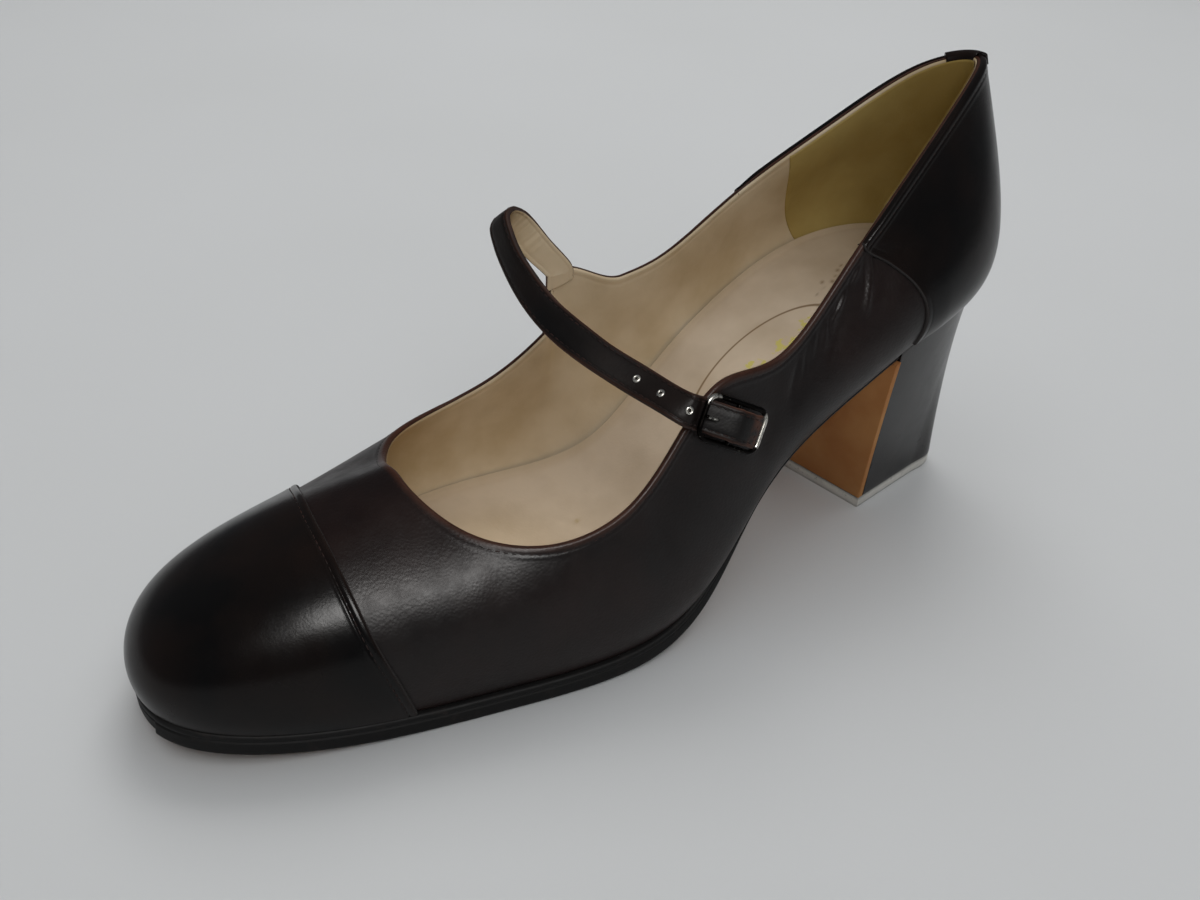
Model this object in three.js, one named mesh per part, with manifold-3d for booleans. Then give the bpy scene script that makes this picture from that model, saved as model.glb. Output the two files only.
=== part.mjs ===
// Mary jane shoe with a block heel, left foot. Millimetres, +Z up, toe toward -Y, outer side on +X.
import * as THREE from 'three';
import Module from 'manifold-3d';

const wasm = await Module();
wasm.setup();

// Driving sizes
const ORIGIN_S = 121.82; // distance from the back of the heel seat to the middle of the shoe
const SKIN = -0.4; // outer face of the upper, measured from the last surface
const WALL = 1.8; // leather and lining of the upper
const OVERLAY_IN = 0; // inner face of the toe cap and heel counter
const OVERLAY_OUT = 0.8; // outer face of the toe cap and heel counter
const GAP = 0.3; // space between neighbouring pieces
const RIB_STEPS = 5; // facets between two rows of the table
const WALL_STEPS = 10; // facets from the feather edge to the topline
const CAP_SEAM = 197.9; // foremost point of the toe cap seam
const CAP_MIDDLE = 14; // where that is, distance outward from the middle
const CAP_BOW = 0.003; // the seam falls back by this times the square of the distance from there
const CAP_KNEE = 30; // height under which the seam also leans back
const CAP_LEAN = 0.3; // by this much for each unit of height
const CAP_REACH = 55; // half width of the line that cuts the toe cap
const INSOLE = 3; // thickness
const INSOLE_IN = 2.7; // its edge, inward of the feather line
const SOLE = 5.8; // thickness under the forefoot
const WAIST_SOLE = 2.2; // thickness under the arch
const SOLE_LEDGE = 0.9; // sole edge outward of the feather line at the forefoot
const WAIST_INSET = 1.6; // sole edge inward of the feather line at the arch
const TREAD_START = 4.3; // rib where the sole starts to thicken
const TREAD_RUN = 2.4; // ribs over which it reaches its full thickness
const TOP_PIECE = 3.5; // thickness
const BREAST_COVER = 1.8; // thickness
const HEEL_INSET = 0.9; // top of the heel, inward of the feather line
const HEEL_MIDDLE = 32; // middle of the heel, from its back
const STRAP_WIDTH = 8;
const STRAP = 1.5; // thickness
const WIRE = 0.65; // radius of the buckle wire
const BUCKLE_LENGTH = 20;
const BUCKLE_WIDTH = 11.8;
const BUCKLE_CORNER = 2.6; // corner radius on the middle of the wire
const BUCKLE_LIFT = 2.9; // height of the buckle wire over the quarter
const PRONG = 0.45; // radius of the prong
const PRONG_HOLE = 1.15; // radius of the hole that the prong goes through
const TAB = 0.7; // thickness of the leather loop that holds the buckle
const TAB_END = 7; // its reach under the strap, from the bar
const EYELET_HOLE = 0.6; // radius
const EYELET_WALL = 0.35; // thickness
const EYELET_RIM = 1.4; // radius
const EYELET_SIDES = 12;

// Rows from the back of the heel to the tip of the toe. Each row is one rib of the last.
// seat: distance from the back, half width outside and inside, height of the feather edge
// side: lean and rise of the wall above the feather edge, lean, drop and forward pull below the top
// top: distance from the back, half width outside and inside, height outside and inside
const ROWS = [
  { seat: [3, 0, 0, 63], side: [12, 14, 9, 18, 0], top: [6, 0, 0, 122, 122] },
  { seat: [10, 20, 23, 64], side: [10, 14, 6, 17, 0], top: [18, 9, 12, 121, 119] },
  { seat: [37, 28, 30, 63], side: [6, 14, 3, 14, 0], top: [43, 16.5, 17.5, 103, 103] },
  { seat: [62, 30, 29, 53], side: [5, 13, 3, 13, 0], top: [69, 23.5, 24, 84, 87] },
  { seat: [87, 29, 26, 38], side: [6, 13, 2, 12, 0], top: [89, 28.5, 26.5, 64, 69] },
  { seat: [104, 34, 26, 17], side: [8, 13, 2, 13, 0], top: [108, 28.5, 29.5, 72, 68.5] },
  { seat: [121, 40, 34, 7.5], side: [7, 15, 3, 14, 0], top: [122, 32, 31, 56, 54.5] },
  { seat: [143, 41, 40, 6], side: [5, 16.5, 4, 13.5, 0], top: [136, 36.5, 34, 45, 43.5] },
  { seat: [169, 36, 38.5, 6], side: [4, 17, 6, 12, 2.5], top: [154.5, 35, 34, 41.5, 40] },
  { seat: [195, 31, 33.5, 6], side: [3.5, 17, 10, 10, 8], top: [169, 25.5, 26.5, 43.5, 42] },
  { seat: [219, 25, 28.5, 8.5], side: [5, 17, 14, 9, 18], top: [175, 14, 14, 47, 43.5] },
  { seat: [238, 15, 21, 11], side: [7, 18.5, 12, 8, 30], top: [177.5, 5, 5, 50, 49.5] },
  { seat: [244.5, 0, 0, 12], side: [7.5, 18.5, 0, 10, 38], top: [177, 0, 0, 50, 50] },
];
const LAST = ROWS.length - 1;
const RIBS = 2 * LAST; // ribs all the way round, the inner side counts on from the toe

// Ear of the inner quarter that carries the strap, in ribs round the shoe
const EAR = { front: 18.02, crest: 18.42, back: 19.45, rise: 10.5, lean: [0.2, -0.25, 1] };

// Side seam of the heel counter: distance from the back outside and inside, height
const COUNTER_SEAM = [
  [64, 71, 96], [61.5, 68, 88.5], [54.5, 60, 83.5], [47.7, 51, 77.3], [44.3, 45.5, 71.4],
  [43.5, 43.5, 65], [45.2, 45.2, 58], [46, 46, 50],
];

// Floor outline of the heel: distance from the back, distance outward from the middle
const HEEL_FLOOR = [[56, 21.5], [44.5, 19.2], [33, 17], [20, 14.5], [10.2, 12.4], [6.7, 7.5],
  [6.7, -7.5], [10.6, -13], [22, -16.8], [36, -19.2], [50.5, -20], [60, -20.3]];
const HEEL_WAIST = 0.4; // hollow of the heel sides at half height

// Strap over the instep: distance from the back, distance outward, height, and the way it faces
const STRAP_PATH = [
  { at: [120.6, -35, 79.5], faces: [-0.3, -0.9, 0] },
  { at: [124.3, -37.5, 84.4], faces: [-0.1, -0.9, 0.4] },
  { at: [127.2, -38.7, 87], faces: [0.2, -0.65, 0.74] },
  { at: [129.9, -37, 86.5], faces: [0.7, -0.35, 0.6] },
  { at: [131.4, -32.4, 83.6], faces: [0.9, -0.1, 0.4] },
  { at: [132, -24.4, 78.8], faces: [0.9, 0, 0.45] },
  { at: [131.4, -11, 73.5], faces: [0.75, 0.1, 0.65] },
  { at: [128.3, 5, 70], faces: [0.5, 0.2, 0.85] },
  { at: [123, 18, 66.8], faces: [0.4, 0.45, 0.8] },
];
const STRAP_ROOT = { rib: 18.66, up: [0.8, 0.88, 0.96] }; // where the strap lies on the inner ear
const BUCKLE_AT = { rib: 5.06, up: 0.79 }; // middle of the buckle on the outer quarter
const BUCKLE_DOWN = 0.62; // fall of the buckle toward the back
// Strap through the buckle: distance along the buckle, height over the wire
const STRAP_END = [[-13.5, -1.1], [-10.2, -1.95], [-8.5, -1.65], [-5, 0.35], [-1.5, 2.45], [0, 2.9],
  [3.2, 2.5], [6.4, 1.5]];
const HOLES = [18.6, 11, 3.4]; // open holes, from the outer bar of the buckle
// Prong from the centre bar to the outer bar: distance along the buckle, height over the wire
const PRONG_LINE = [[-1.55, -0.35], [-3.4, -0.4], [-4.4, -0.05], [-5.2, 0.5], [-6.4, 1.2],
  [-8.4, 1.55], [-9.9, 1.45]];

const clamp = (x) => Math.min(1, Math.max(0, x));
const ease = (x) => clamp(x) ** 2 * (3 - 2 * clamp(x));
const vec = (p) => new THREE.Vector3(...p);

// Four control points of one rib, in distance from the back, distance outward, height
function ribFrame(k) {
  const outer = k <= LAST;
  const row = ROWS[outer ? k : RIBS - k];
  const [s, wOut, wIn, z] = row.seat;
  const [ts, tOut, tIn, zOut, zIn] = row.top;
  const seat = vec([s, outer ? wOut : -wIn, z]);
  const top = vec([ts, outer ? tOut : -tIn, outer ? zOut : zIn]);
  return { seat, top, side: row.side };
}

const frames = Array.from({ length: RIBS }, (_, k) => ribFrame(k));

function ribControls(k) {
  const { seat, top, side } = frames[k];
  const [lean, rise, shoulder, drop, pull] = side;
  const along = frames[(k + 1) % RIBS].seat.clone().sub(frames[(k + RIBS - 1) % RIBS].seat);
  const out = vec([-along.y, along.x, 0]).normalize();
  const low = seat.clone().addScaledVector(out, lean).add(vec([0, 0, rise]));
  const high = top.clone().addScaledVector(out, shoulder).add(vec([pull, 0, -drop]));
  return [seat, low, high, top];
}

const controls = frames.map((_, k) => ribControls(k));

// Smooth curve round the shoe through one set of control points, r in ribs
function around(which, r) {
  const i = Math.floor(r);
  const t = r - i;
  const weights = [(1 - t) ** 3, 3 * t ** 3 - 6 * t * t + 4, -3 * t ** 3 + 3 * t * t + 3 * t + 1, t ** 3];
  const p = vec([0, 0, 0]);
  weights.forEach((w, j) => {
    p.addScaledVector(controls[(i - 1 + j + RIBS) % RIBS][which], w / 6);
  });
  return p;
}

function earRise(r) {
  const up = ease((r - EAR.front) / (EAR.crest - EAR.front));
  return EAR.rise * up * (1 - ease((r - EAR.crest - 0.08) / (EAR.back - EAR.crest - 0.08)));
}

// Last surface: r in ribs round the shoe, v from the feather edge to the topline
function last(r, v) {
  const q = (r + RIBS) % RIBS;
  const ear = vec(EAR.lean).multiplyScalar(earRise(q));
  const high = around(2, q).addScaledVector(ear, 0.6);
  const top = around(3, q).add(ear);
  const p = around(0, q).multiplyScalar((1 - v) ** 3);
  p.addScaledVector(around(1, q), 3 * v * (1 - v) ** 2);
  p.addScaledVector(high, 3 * v * v * (1 - v));
  return p.addScaledVector(top, v ** 3);
}

function lastNormal(r, v) {
  const e = 0.02;
  const low = Math.max(0, v - e);
  const up = Math.min(1, v + e);
  const along = last(r + e, v).sub(last(r - e, v));
  return along.cross(last(r, up).sub(last(r, low))).normalize().negate();
}

const skin = (r, v, offset) => last(r, v).addScaledVector(lastNormal(r, v), offset);

// Feather line moved outward in the plane of the sole and up square to it
function feather(r, out, up) {
  const p = around(0, (r + RIBS) % RIBS);
  const along = around(0, (r + 0.05 + RIBS) % RIBS).sub(around(0, (r - 0.05 + RIBS) % RIBS));
  const side = r % RIBS < LAST ? 1 : -1;
  const slope = along.clone().setY(0).multiplyScalar(side);
  const nearEnd = Math.min(r % LAST, LAST - (r % LAST)) < 0.5;
  const face = nearEnd ? vec([0, 0, 1]) : vec([-slope.z, 0, slope.x]).normalize();
  const square = face.clone().cross(along).normalize();
  return p.addScaledVector(square, out).addScaledVector(face, up);
}

const place = (p) => [p.y, ORIGIN_S - p.x, p.z];

// Closed body from points and triangles, turned so that its faces look outward
function solid(points, faces) {
  const build = (triangles) => new wasm.Manifold(new wasm.Mesh({
    numProp: 3,
    vertProperties: new Float32Array(points.flatMap(place)),
    triVerts: new Uint32Array(triangles.flat()),
  }));
  const body = build(faces);
  return body.volume() > 0 ? body : build(faces.map(([a, b, c]) => [c, b, a]));
}

function bands(loops, closed) {
  const n = loops[0].length;
  const faces = [];
  const rounds = closed ? loops.length : loops.length - 1;
  for (let j = 0; j < rounds; j++) {
    const low = j * n;
    const up = ((j + 1) % loops.length) * n;
    for (let i = 0; i < n; i++) {
      const k = (i + 1) % n;
      faces.push([low + i, low + k, up + k], [low + i, up + k, up + i]);
    }
  }
  return faces;
}

// Solid ring from loops that go once round a section
function hoop(loops) {
  return solid(loops.flat(), bands(loops, true));
}

// Solid from a stack of loops, closed straight across at both ends
function stack(loops) {
  const n = loops[0].length;
  const faces = bands(loops, false);
  const top = (loops.length - 1) * n;
  for (let i = 0; i < n / 2 - 1; i++) {
    const a = n - 1 - i;
    faces.push([i + 1, i, a], [i + 1, a, a - 1]);
    faces.push([top + i, top + i + 1, top + a], [top + i + 1, top + a - 1, top + a]);
  }
  return solid(loops.flat(), faces);
}

// Places round the shoe where the facets of the upper turn
const turns = [];
for (let i = 0; i < RIBS * RIB_STEPS; i++) {
  turns.push(i / RIB_STEPS);
}
for (const extra of [18.1, 18.3, 18.5]) {
  turns.push(extra);
}
turns.sort((a, b) => a - b);

function shell(inner, outer) {
  const loops = [];
  for (let j = 0; j <= WALL_STEPS; j++) {
    loops.push(turns.map((r) => skin(r, j / WALL_STEPS, outer)));
  }
  for (let j = WALL_STEPS; j > 0; j--) {
    loops.push(turns.map((r) => skin(r, j / WALL_STEPS, inner)));
  }
  loops.push(turns.map((r) => feather(r, inner, 0)));
  return hoop(loops);
}

// Straight sided solid between two equal outlines, flat holds the outline drawn in a plane
function prism(flat, low, high) {
  const n = flat.length;
  const turn = THREE.ShapeUtils.isClockWise(flat);
  const faces = bands([low, high], false);
  for (const [a, b, c] of THREE.ShapeUtils.triangulateShape(flat, [])) {
    const same = THREE.ShapeUtils.isClockWise([flat[a], flat[b], flat[c]]) === turn;
    const [p, q, r] = same ? [a, b, c] : [c, b, a];
    faces.push([r, q, p], [n + p, n + q, n + r]);
  }
  return solid([...low, ...high], faces);
}

// Block over an outline drawn in plan or from the side
function block(outline, depth, fromSide) {
  const at = (p, d) => (fromSide ? vec([p[0], d, p[1]]) : vec([p[0], p[1], d]));
  const flat = outline.map((p) => new THREE.Vector2(...p));
  return prism(flat, outline.map((p) => at(p, depth[0])), outline.map((p) => at(p, depth[1])));
}

function smoothLine(points, count) {
  return new THREE.CatmullRomCurve3(points, false, 'centripetal').getPoints(count);
}

// Outline of what lies in front of the toe cap seam at a height
function capOutline(z) {
  const outline = [vec([260, -60, z]), vec([260, 60, z])];
  const leant = CAP_LEAN * Math.max(0, CAP_KNEE - z);
  for (let t = CAP_REACH; t >= -CAP_REACH; t -= 5) {
    outline.push(vec([CAP_SEAM - CAP_BOW * (t - CAP_MIDDLE) ** 2 - leant, t, z]));
  }
  return outline;
}

function toeCap() {
  const slab = (low, high) => {
    const flat = capOutline(high).map((p) => new THREE.Vector2(p.x, p.y));
    return prism(flat, capOutline(low), capOutline(high));
  };
  const front = slab(-5, CAP_KNEE + 0.01).add(slab(CAP_KNEE, 90));
  return shell(OVERLAY_IN, OVERLAY_OUT).intersect(front);
}

function heelCounter() {
  const side = (column, depth) => {
    const seam = smoothLine(COUNTER_SEAM.map((row) => vec([row[column], row[2], 0])), 14);
    const outline = [...seam.map((p) => [p.x, p.y]), [-20, 50], [-20, 135], [64, 135]];
    return block(outline, depth, true);
  };
  const behind = side(0, [0, 60]).add(side(1, [-60, 0.01]));
  return shell(OVERLAY_IN, OVERLAY_OUT).intersect(behind);
}

function insole() {
  const count = 64;
  const ring = (out, up) => Array.from({ length: count }, (_, i) =>
    feather(((i + 0.5) * RIBS) / count, out, up));
  const edge = -INSOLE_IN;
  const round = 0.6;
  return stack([ring(edge - 0.1, 0.2), ring(edge, round), ring(edge + round, INSOLE - round),
    ring(edge, INSOLE)]);
}

// Front face of the heel: distance from the back at a height and a distance outward
const BREAST = { start: 46.2, lean: 0.127, skew: 0.2 };
const breastLine = (z, t) => BREAST.start + BREAST.lean * z - BREAST.skew * t;

// Keeps what lies in front of the heel by a distance, or behind it when side is -1
function trimAtBreast(body, ahead, side) {
  const normal = vec([BREAST.skew, -1, -BREAST.lean]);
  const size = normal.length();
  const offset = (BREAST.start + ahead - ORIGIN_S) / size;
  normal.divideScalar(size).multiplyScalar(side);
  return body.trimByPlane([normal.x, normal.y, normal.z], offset * side);
}

// Place round the shoe where the edge of the seat meets the front of the heel, on side 1 or -1
function breastPlace(side, out, up, ahead) {
  let [low, high] = [1, 5];
  while (high - low > 1e-4) {
    const r = (low + high) / 2;
    const p = feather((side * r + RIBS) % RIBS, out, up);
    if (p.x < breastLine(p.z, p.y) + ahead) {
      low = r;
    } else {
      high = r;
    }
  }
  return low;
}

function outsole() {
  const count = 72;
  const starts = [1, -1].map((side) => breastPlace(side, -WAIST_INSET, -GAP, -2));
  const places = Array.from({ length: count }, (_, i) => {
    const half = (count - 1) / 2;
    const start = starts[i < half ? 0 : 1];
    const r = start + ((LAST - start) * Math.min(i, count - 1 - i)) / half;
    return i < half ? r : RIBS - r;
  });
  const tread = (r) => ease((Math.min(r, RIBS - r) - TREAD_START) / TREAD_RUN);
  const ring = (inset, part) => places.map((r) => {
    const full = tread(r);
    const thick = WAIST_SOLE + (SOLE - WAIST_SOLE) * full;
    const out = SOLE_LEDGE * full - WAIST_INSET * (1 - full) - inset;
    const p = feather(r, out, -GAP - thick * part);
    p.z = Math.max(0, p.z);
    return p;
  });
  const body = stack([ring(0.9, 1), ring(0, 0.84), ring(0, 0.14), ring(1, 0)]);
  return trimAtBreast(body, GAP, 1);
}

// Outline of the heel at a part of its height, its top lies a distance under the seat
function heelLoop(part, under) {
  const count = 48;
  const floor = new THREE.CatmullRomCurve3(HEEL_FLOOR.map(([s, t]) => vec([s, t, 0])));
  const [outer, inner] = [1, -1].map((side) => breastPlace(side, -HEEL_INSET, -under, 6));
  return Array.from({ length: count }, (_, i) => {
    const f = i / (count - 1);
    const r = (outer - (outer + inner) * f + RIBS) % RIBS;
    const p = floor.getPoint(f).setZ(TOP_PIECE + GAP).lerp(feather(r, -HEEL_INSET, -under), part);
    const inward = vec([HEEL_MIDDLE - p.x, -p.y, 0]).normalize();
    return p.addScaledVector(inward, HEEL_WAIST * 4 * part * (1 - part));
  });
}

function heelLoft(under) {
  return stack([0, 0.15, 0.35, 0.55, 0.75, 0.9, 1].map((part) => heelLoop(part, under)));
}

function heel() {
  return trimAtBreast(heelLoft(GAP + 0.1), 0, -1);
}

function heelBreast() {
  const body = trimAtBreast(heelLoft(WAIST_SOLE + 3 * GAP), GAP, 1);
  return trimAtBreast(body, GAP + BREAST_COVER, -1);
}

function topPiece() {
  const outline = heelLoop(0, GAP);
  const level = (z, inset) => outline.map((p) => {
    const inward = vec([HEEL_MIDDLE - p.x, -p.y, 0]).normalize();
    return p.clone().setZ(z).addScaledVector(inward, inset);
  });
  const body = stack([level(0, 0.6), level(0.6, 0.1), level(TOP_PIECE, 0.1)]);
  return trimAtBreast(body, GAP + BREAST_COVER, -1);
}

// Buckle plane on the outer quarter
const buckle = (() => {
  const { rib, up } = BUCKLE_AT;
  const normal = lastNormal(rib, up);
  const origin = last(rib, up).addScaledVector(normal, SKIN + BUCKLE_LIFT);
  const along = vec([-1, 0, -BUCKLE_DOWN]);
  along.addScaledVector(normal, -along.dot(normal)).normalize();
  const across = normal.clone().cross(along).normalize();
  return { origin, along, across, normal };
})();

function onBuckle(x, y, z) {
  return buckle.origin.clone().addScaledVector(buckle.along, x)
    .addScaledVector(buckle.across, y).addScaledVector(buckle.normal, z);
}

const barX = BUCKLE_LENGTH / 2 - WIRE;

// Middle line of the strap with the way it faces
const strapRows = [
  ...STRAP_ROOT.up.map((up) => {
    const n = lastNormal(STRAP_ROOT.rib, up);
    return { p: last(STRAP_ROOT.rib, up).addScaledVector(n, SKIN + 2 * GAP + STRAP / 2), n };
  }),
  ...STRAP_PATH.map(({ at, faces }) => ({ p: vec(at), n: vec(faces).normalize() })),
  ...STRAP_END.map(([x, z]) => ({ p: onBuckle(x, 0, z), n: buckle.normal.clone() })),
];
const strapCurve = new THREE.CatmullRomCurve3(strapRows.map((row) => row.p));
const strapFacing = new THREE.CatmullRomCurve3(strapRows.map((row) => row.n));

function strapFrame(f) {
  const at = strapCurve.getPoint(f);
  const along = strapCurve.getTangent(f);
  const facing = strapFacing.getPoint(f);
  facing.addScaledVector(along, -facing.dot(along)).normalize();
  const across = facing.clone().cross(along).normalize();
  return { at, along, facing, across };
}

function strapSolid() {
  const steps = 52;
  const half = STRAP_WIDTH / 2;
  const corners = [[-half, -1], [half, -1], [half, 1], [-half, 1]];
  const loops = [];
  for (let i = 0; i <= steps; i++) {
    const { at, facing, across } = strapFrame(i / steps);
    loops.push(corners.map(([w, side]) => at.clone().addScaledVector(across, w)
      .addScaledVector(facing, (side * STRAP) / 2)));
  }
  return stack(loops);
}

// Place on the strap a given length back from the outer bar of the buckle
function strapAt(back) {
  const bar = (strapRows.length - STRAP_END.length + 1) / (strapRows.length - 1);
  let f = bar;
  let run = 0;
  let p = strapCurve.getPoint(f);
  while (run < back) {
    f -= 0.002;
    const q = strapCurve.getPoint(f);
    run += q.distanceTo(p);
    p = q;
  }
  return strapFrame(f);
}

// Loops of a round piece from a profile of radius and height, set square on a frame
function turned({ at, along, facing, across }, profile, segments) {
  return profile.map(([radius, height]) => Array.from({ length: segments }, (_, i) => {
    const angle = (2 * Math.PI * i) / segments;
    return at.clone().addScaledVector(along, radius * Math.cos(angle))
      .addScaledVector(across, -radius * Math.sin(angle)).addScaledVector(facing, height);
  }));
}

function eyelet(frame) {
  const low = -STRAP / 2 - GAP;
  const high = STRAP / 2 + GAP + 0.1;
  const outer = EYELET_HOLE + EYELET_WALL;
  const profile = [[EYELET_HOLE, low], [outer, low], [outer, high], [EYELET_RIM, high],
    [outer, high + 0.4], [EYELET_HOLE, high + 0.35]];
  return hoop(turned(frame, profile, EYELET_SIDES));
}

function drill(frame, radius) {
  return stack(turned(frame, [[radius, -4], [radius, 4]], EYELET_SIDES));
}

// Rod of round section along a line of points, closed into a ring or with flat ends
function rod(points, radius, closed) {
  const n = points.length;
  const loops = points.map((p, i) => {
    const before = points[closed ? (i + n - 1) % n : Math.max(0, i - 1)];
    const after = points[closed ? (i + 1) % n : Math.min(n - 1, i + 1)];
    const along = after.clone().sub(before).normalize();
    const facing = buckle.normal.clone().addScaledVector(along, -buckle.normal.dot(along));
    facing.normalize();
    const across = facing.clone().cross(along).normalize();
    return Array.from({ length: 8 }, (_, k) => {
      const angle = (2 * Math.PI * (k + 0.5)) / 8;
      return p.clone().addScaledVector(across, radius * Math.cos(angle))
        .addScaledVector(facing, radius * Math.sin(angle));
    });
  });
  return closed ? hoop(loops) : stack(loops);
}

function buckleFrame() {
  const halfX = BUCKLE_LENGTH / 2 - WIRE;
  const halfY = BUCKLE_WIDTH / 2 - WIRE;
  const round = BUCKLE_CORNER;
  const points = [];
  const corners = [[1, 1, 0], [-1, 1, 1], [-1, -1, 2], [1, -1, 3]];
  for (const [sx, sy, quarter] of corners) {
    for (let i = 0; i <= 4; i++) {
      const angle = ((quarter + i / 4) * Math.PI) / 2;
      const x = sx * (halfX - round) + round * Math.cos(angle);
      const y = sy * (halfY - round) + round * Math.sin(angle);
      points.push(onBuckle(x, y, 0));
    }
  }
  const bar = rod([onBuckle(0, -halfY, 0), onBuckle(0, halfY, 0)], WIRE, false);
  return rod(points, WIRE, true).add(bar);
}

function buckleProng() {
  return rod(PRONG_LINE.map(([x, z]) => onBuckle(x, 0, z)), PRONG, false);
}

function buckleTab() {
  const outer = WIRE + GAP + TAB;
  const inner = WIRE + GAP;
  const width = STRAP_WIDTH / 2;
  const arc = (radius) => Array.from({ length: 9 }, (_, i) => {
    const angle = Math.PI / 2 + (Math.PI * i) / 8;
    return [radius * Math.cos(angle), radius * Math.sin(angle)];
  });
  const body = [...arc(outer), [3, -outer], [TAB_END, -2.2], [TAB_END, -1.5], [3, -inner], [2, outer]];
  const hole = [...arc(inner), [1.1, -inner], [1.1, inner]];
  const slot = [[-3, -2.5], [0.8, -2.5], [0.8, 2.5], [-3, 2.5]];
  const slab = (outline, half) => prism(outline.map((p) => new THREE.Vector2(...p)),
    outline.map(([x, z]) => onBuckle(x, -half, z)), outline.map(([x, z]) => onBuckle(x, half, z)));
  return slab(body, width).subtract(slab(hole, width + 1)).subtract(slab(slot, 0.85));
}

const group = new THREE.Group();
group.name = 'mary_jane_shoe';

function addPart(name, body, colour) {
  if (body.volume() <= 0) {
    throw new Error(`${name} is inside out: ${body.volume()}`);
  }
  const { vertProperties, triVerts, numProp } = body.getMesh();
  const geometry = new THREE.BufferGeometry();
  const xyz = new Float32Array((vertProperties.length / numProp) * 3);
  for (let i = 0; i < xyz.length / 3; i++) {
    xyz.set(vertProperties.slice(i * numProp, i * numProp + 3), i * 3);
  }
  geometry.setAttribute('position', new THREE.BufferAttribute(xyz, 3));
  geometry.setIndex(new THREE.BufferAttribute(new Uint32Array(triVerts), 1));
  geometry.computeVertexNormals();
  const mesh = new THREE.Mesh(geometry, new THREE.MeshStandardMaterial({ color: colour }));
  mesh.name = name;
  group.add(mesh);
}

addPart('upper', shell(SKIN - WALL, SKIN), 0x2a1b19);
addPart('insole', insole(), 0xb9a58a);
addPart('outsole', outsole(), 0x17120f);
addPart('toe_cap', toeCap(), 0x131111);
addPart('heel_counter', heelCounter(), 0x151313);
addPart('heel', heel(), 0x161414);
addPart('top_piece', topPiece(), 0xb8b4aa);
addPart('heel_breast', heelBreast(), 0x9a5d2c);

const eyeletFrames = HOLES.map(strapAt);
const prongHole = strapFrame((strapRows.length - STRAP_END.length + 3) / (strapRows.length - 1));
let strap = strapSolid().subtract(drill(prongHole, PRONG_HOLE));
for (const frame of eyeletFrames) {
  strap = strap.subtract(drill(frame, EYELET_HOLE + EYELET_WALL + GAP + 0.05));
}
addPart('strap', strap, 0x1c1716);
eyeletFrames.forEach((frame, i) => addPart(`strap_eyelet_${i + 1}`, eyelet(frame), 0xb8b8b4));
addPart('buckle_frame', buckleFrame(), 0x8a8580);
addPart('buckle_prong', buckleProng(), 0x8a8580);
addPart('buckle_tab', buckleTab(), 0x1a1414);

export default group;
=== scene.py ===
import math

import bmesh
import bpy
import numpy as np
from bpy.props import FloatProperty, FloatVectorProperty, PointerProperty
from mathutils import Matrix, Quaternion, Vector


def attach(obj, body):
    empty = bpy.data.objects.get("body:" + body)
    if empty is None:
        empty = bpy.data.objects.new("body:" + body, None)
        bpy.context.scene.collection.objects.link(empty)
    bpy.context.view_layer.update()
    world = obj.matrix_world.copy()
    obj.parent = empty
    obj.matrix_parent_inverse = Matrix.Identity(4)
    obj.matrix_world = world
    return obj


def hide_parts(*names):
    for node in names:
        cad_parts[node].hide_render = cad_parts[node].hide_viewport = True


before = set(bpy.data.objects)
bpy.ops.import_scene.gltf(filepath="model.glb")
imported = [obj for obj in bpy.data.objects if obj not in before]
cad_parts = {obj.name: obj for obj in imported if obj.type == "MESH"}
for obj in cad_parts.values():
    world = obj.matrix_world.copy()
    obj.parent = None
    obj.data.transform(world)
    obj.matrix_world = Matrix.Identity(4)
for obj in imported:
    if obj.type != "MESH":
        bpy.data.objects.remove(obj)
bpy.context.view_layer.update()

bl_info = {
    "name": "Mary jane shoe",
    "version": (1, 0, 0),
    "blender": (4, 5, 0),
    "location": "3D View > Sidebar > Shoe",
    "description": "Leather mary jane with a toe cap, a heel counter, a block heel and a buckled strap",
    "category": "Add Mesh",
}

MM = 0.001


def linear(colour):
    """Scene linear values of an sRGB hex colour."""
    values = [int(colour[i:i + 2], 16) / 255 for i in (1, 3, 5)]
    return [v / 12.92 if v <= 0.04045 else ((v + 0.055) / 1.055) ** 2.4 for v in values]


# ---------------------------------------------------------------- the last, in millimetres
# s is the distance from the back of the heel, t the distance outward, z the height.

ORIGIN_S = 121.82  # from the back of the heel to the middle of the shoe
SKIN = -0.4  # outer face of the upper, from the last surface
WALL = 1.8  # leather and lining together
OVERLAY = 0.8  # outer face of the toe cap and heel counter
GAP = 0.3

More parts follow.
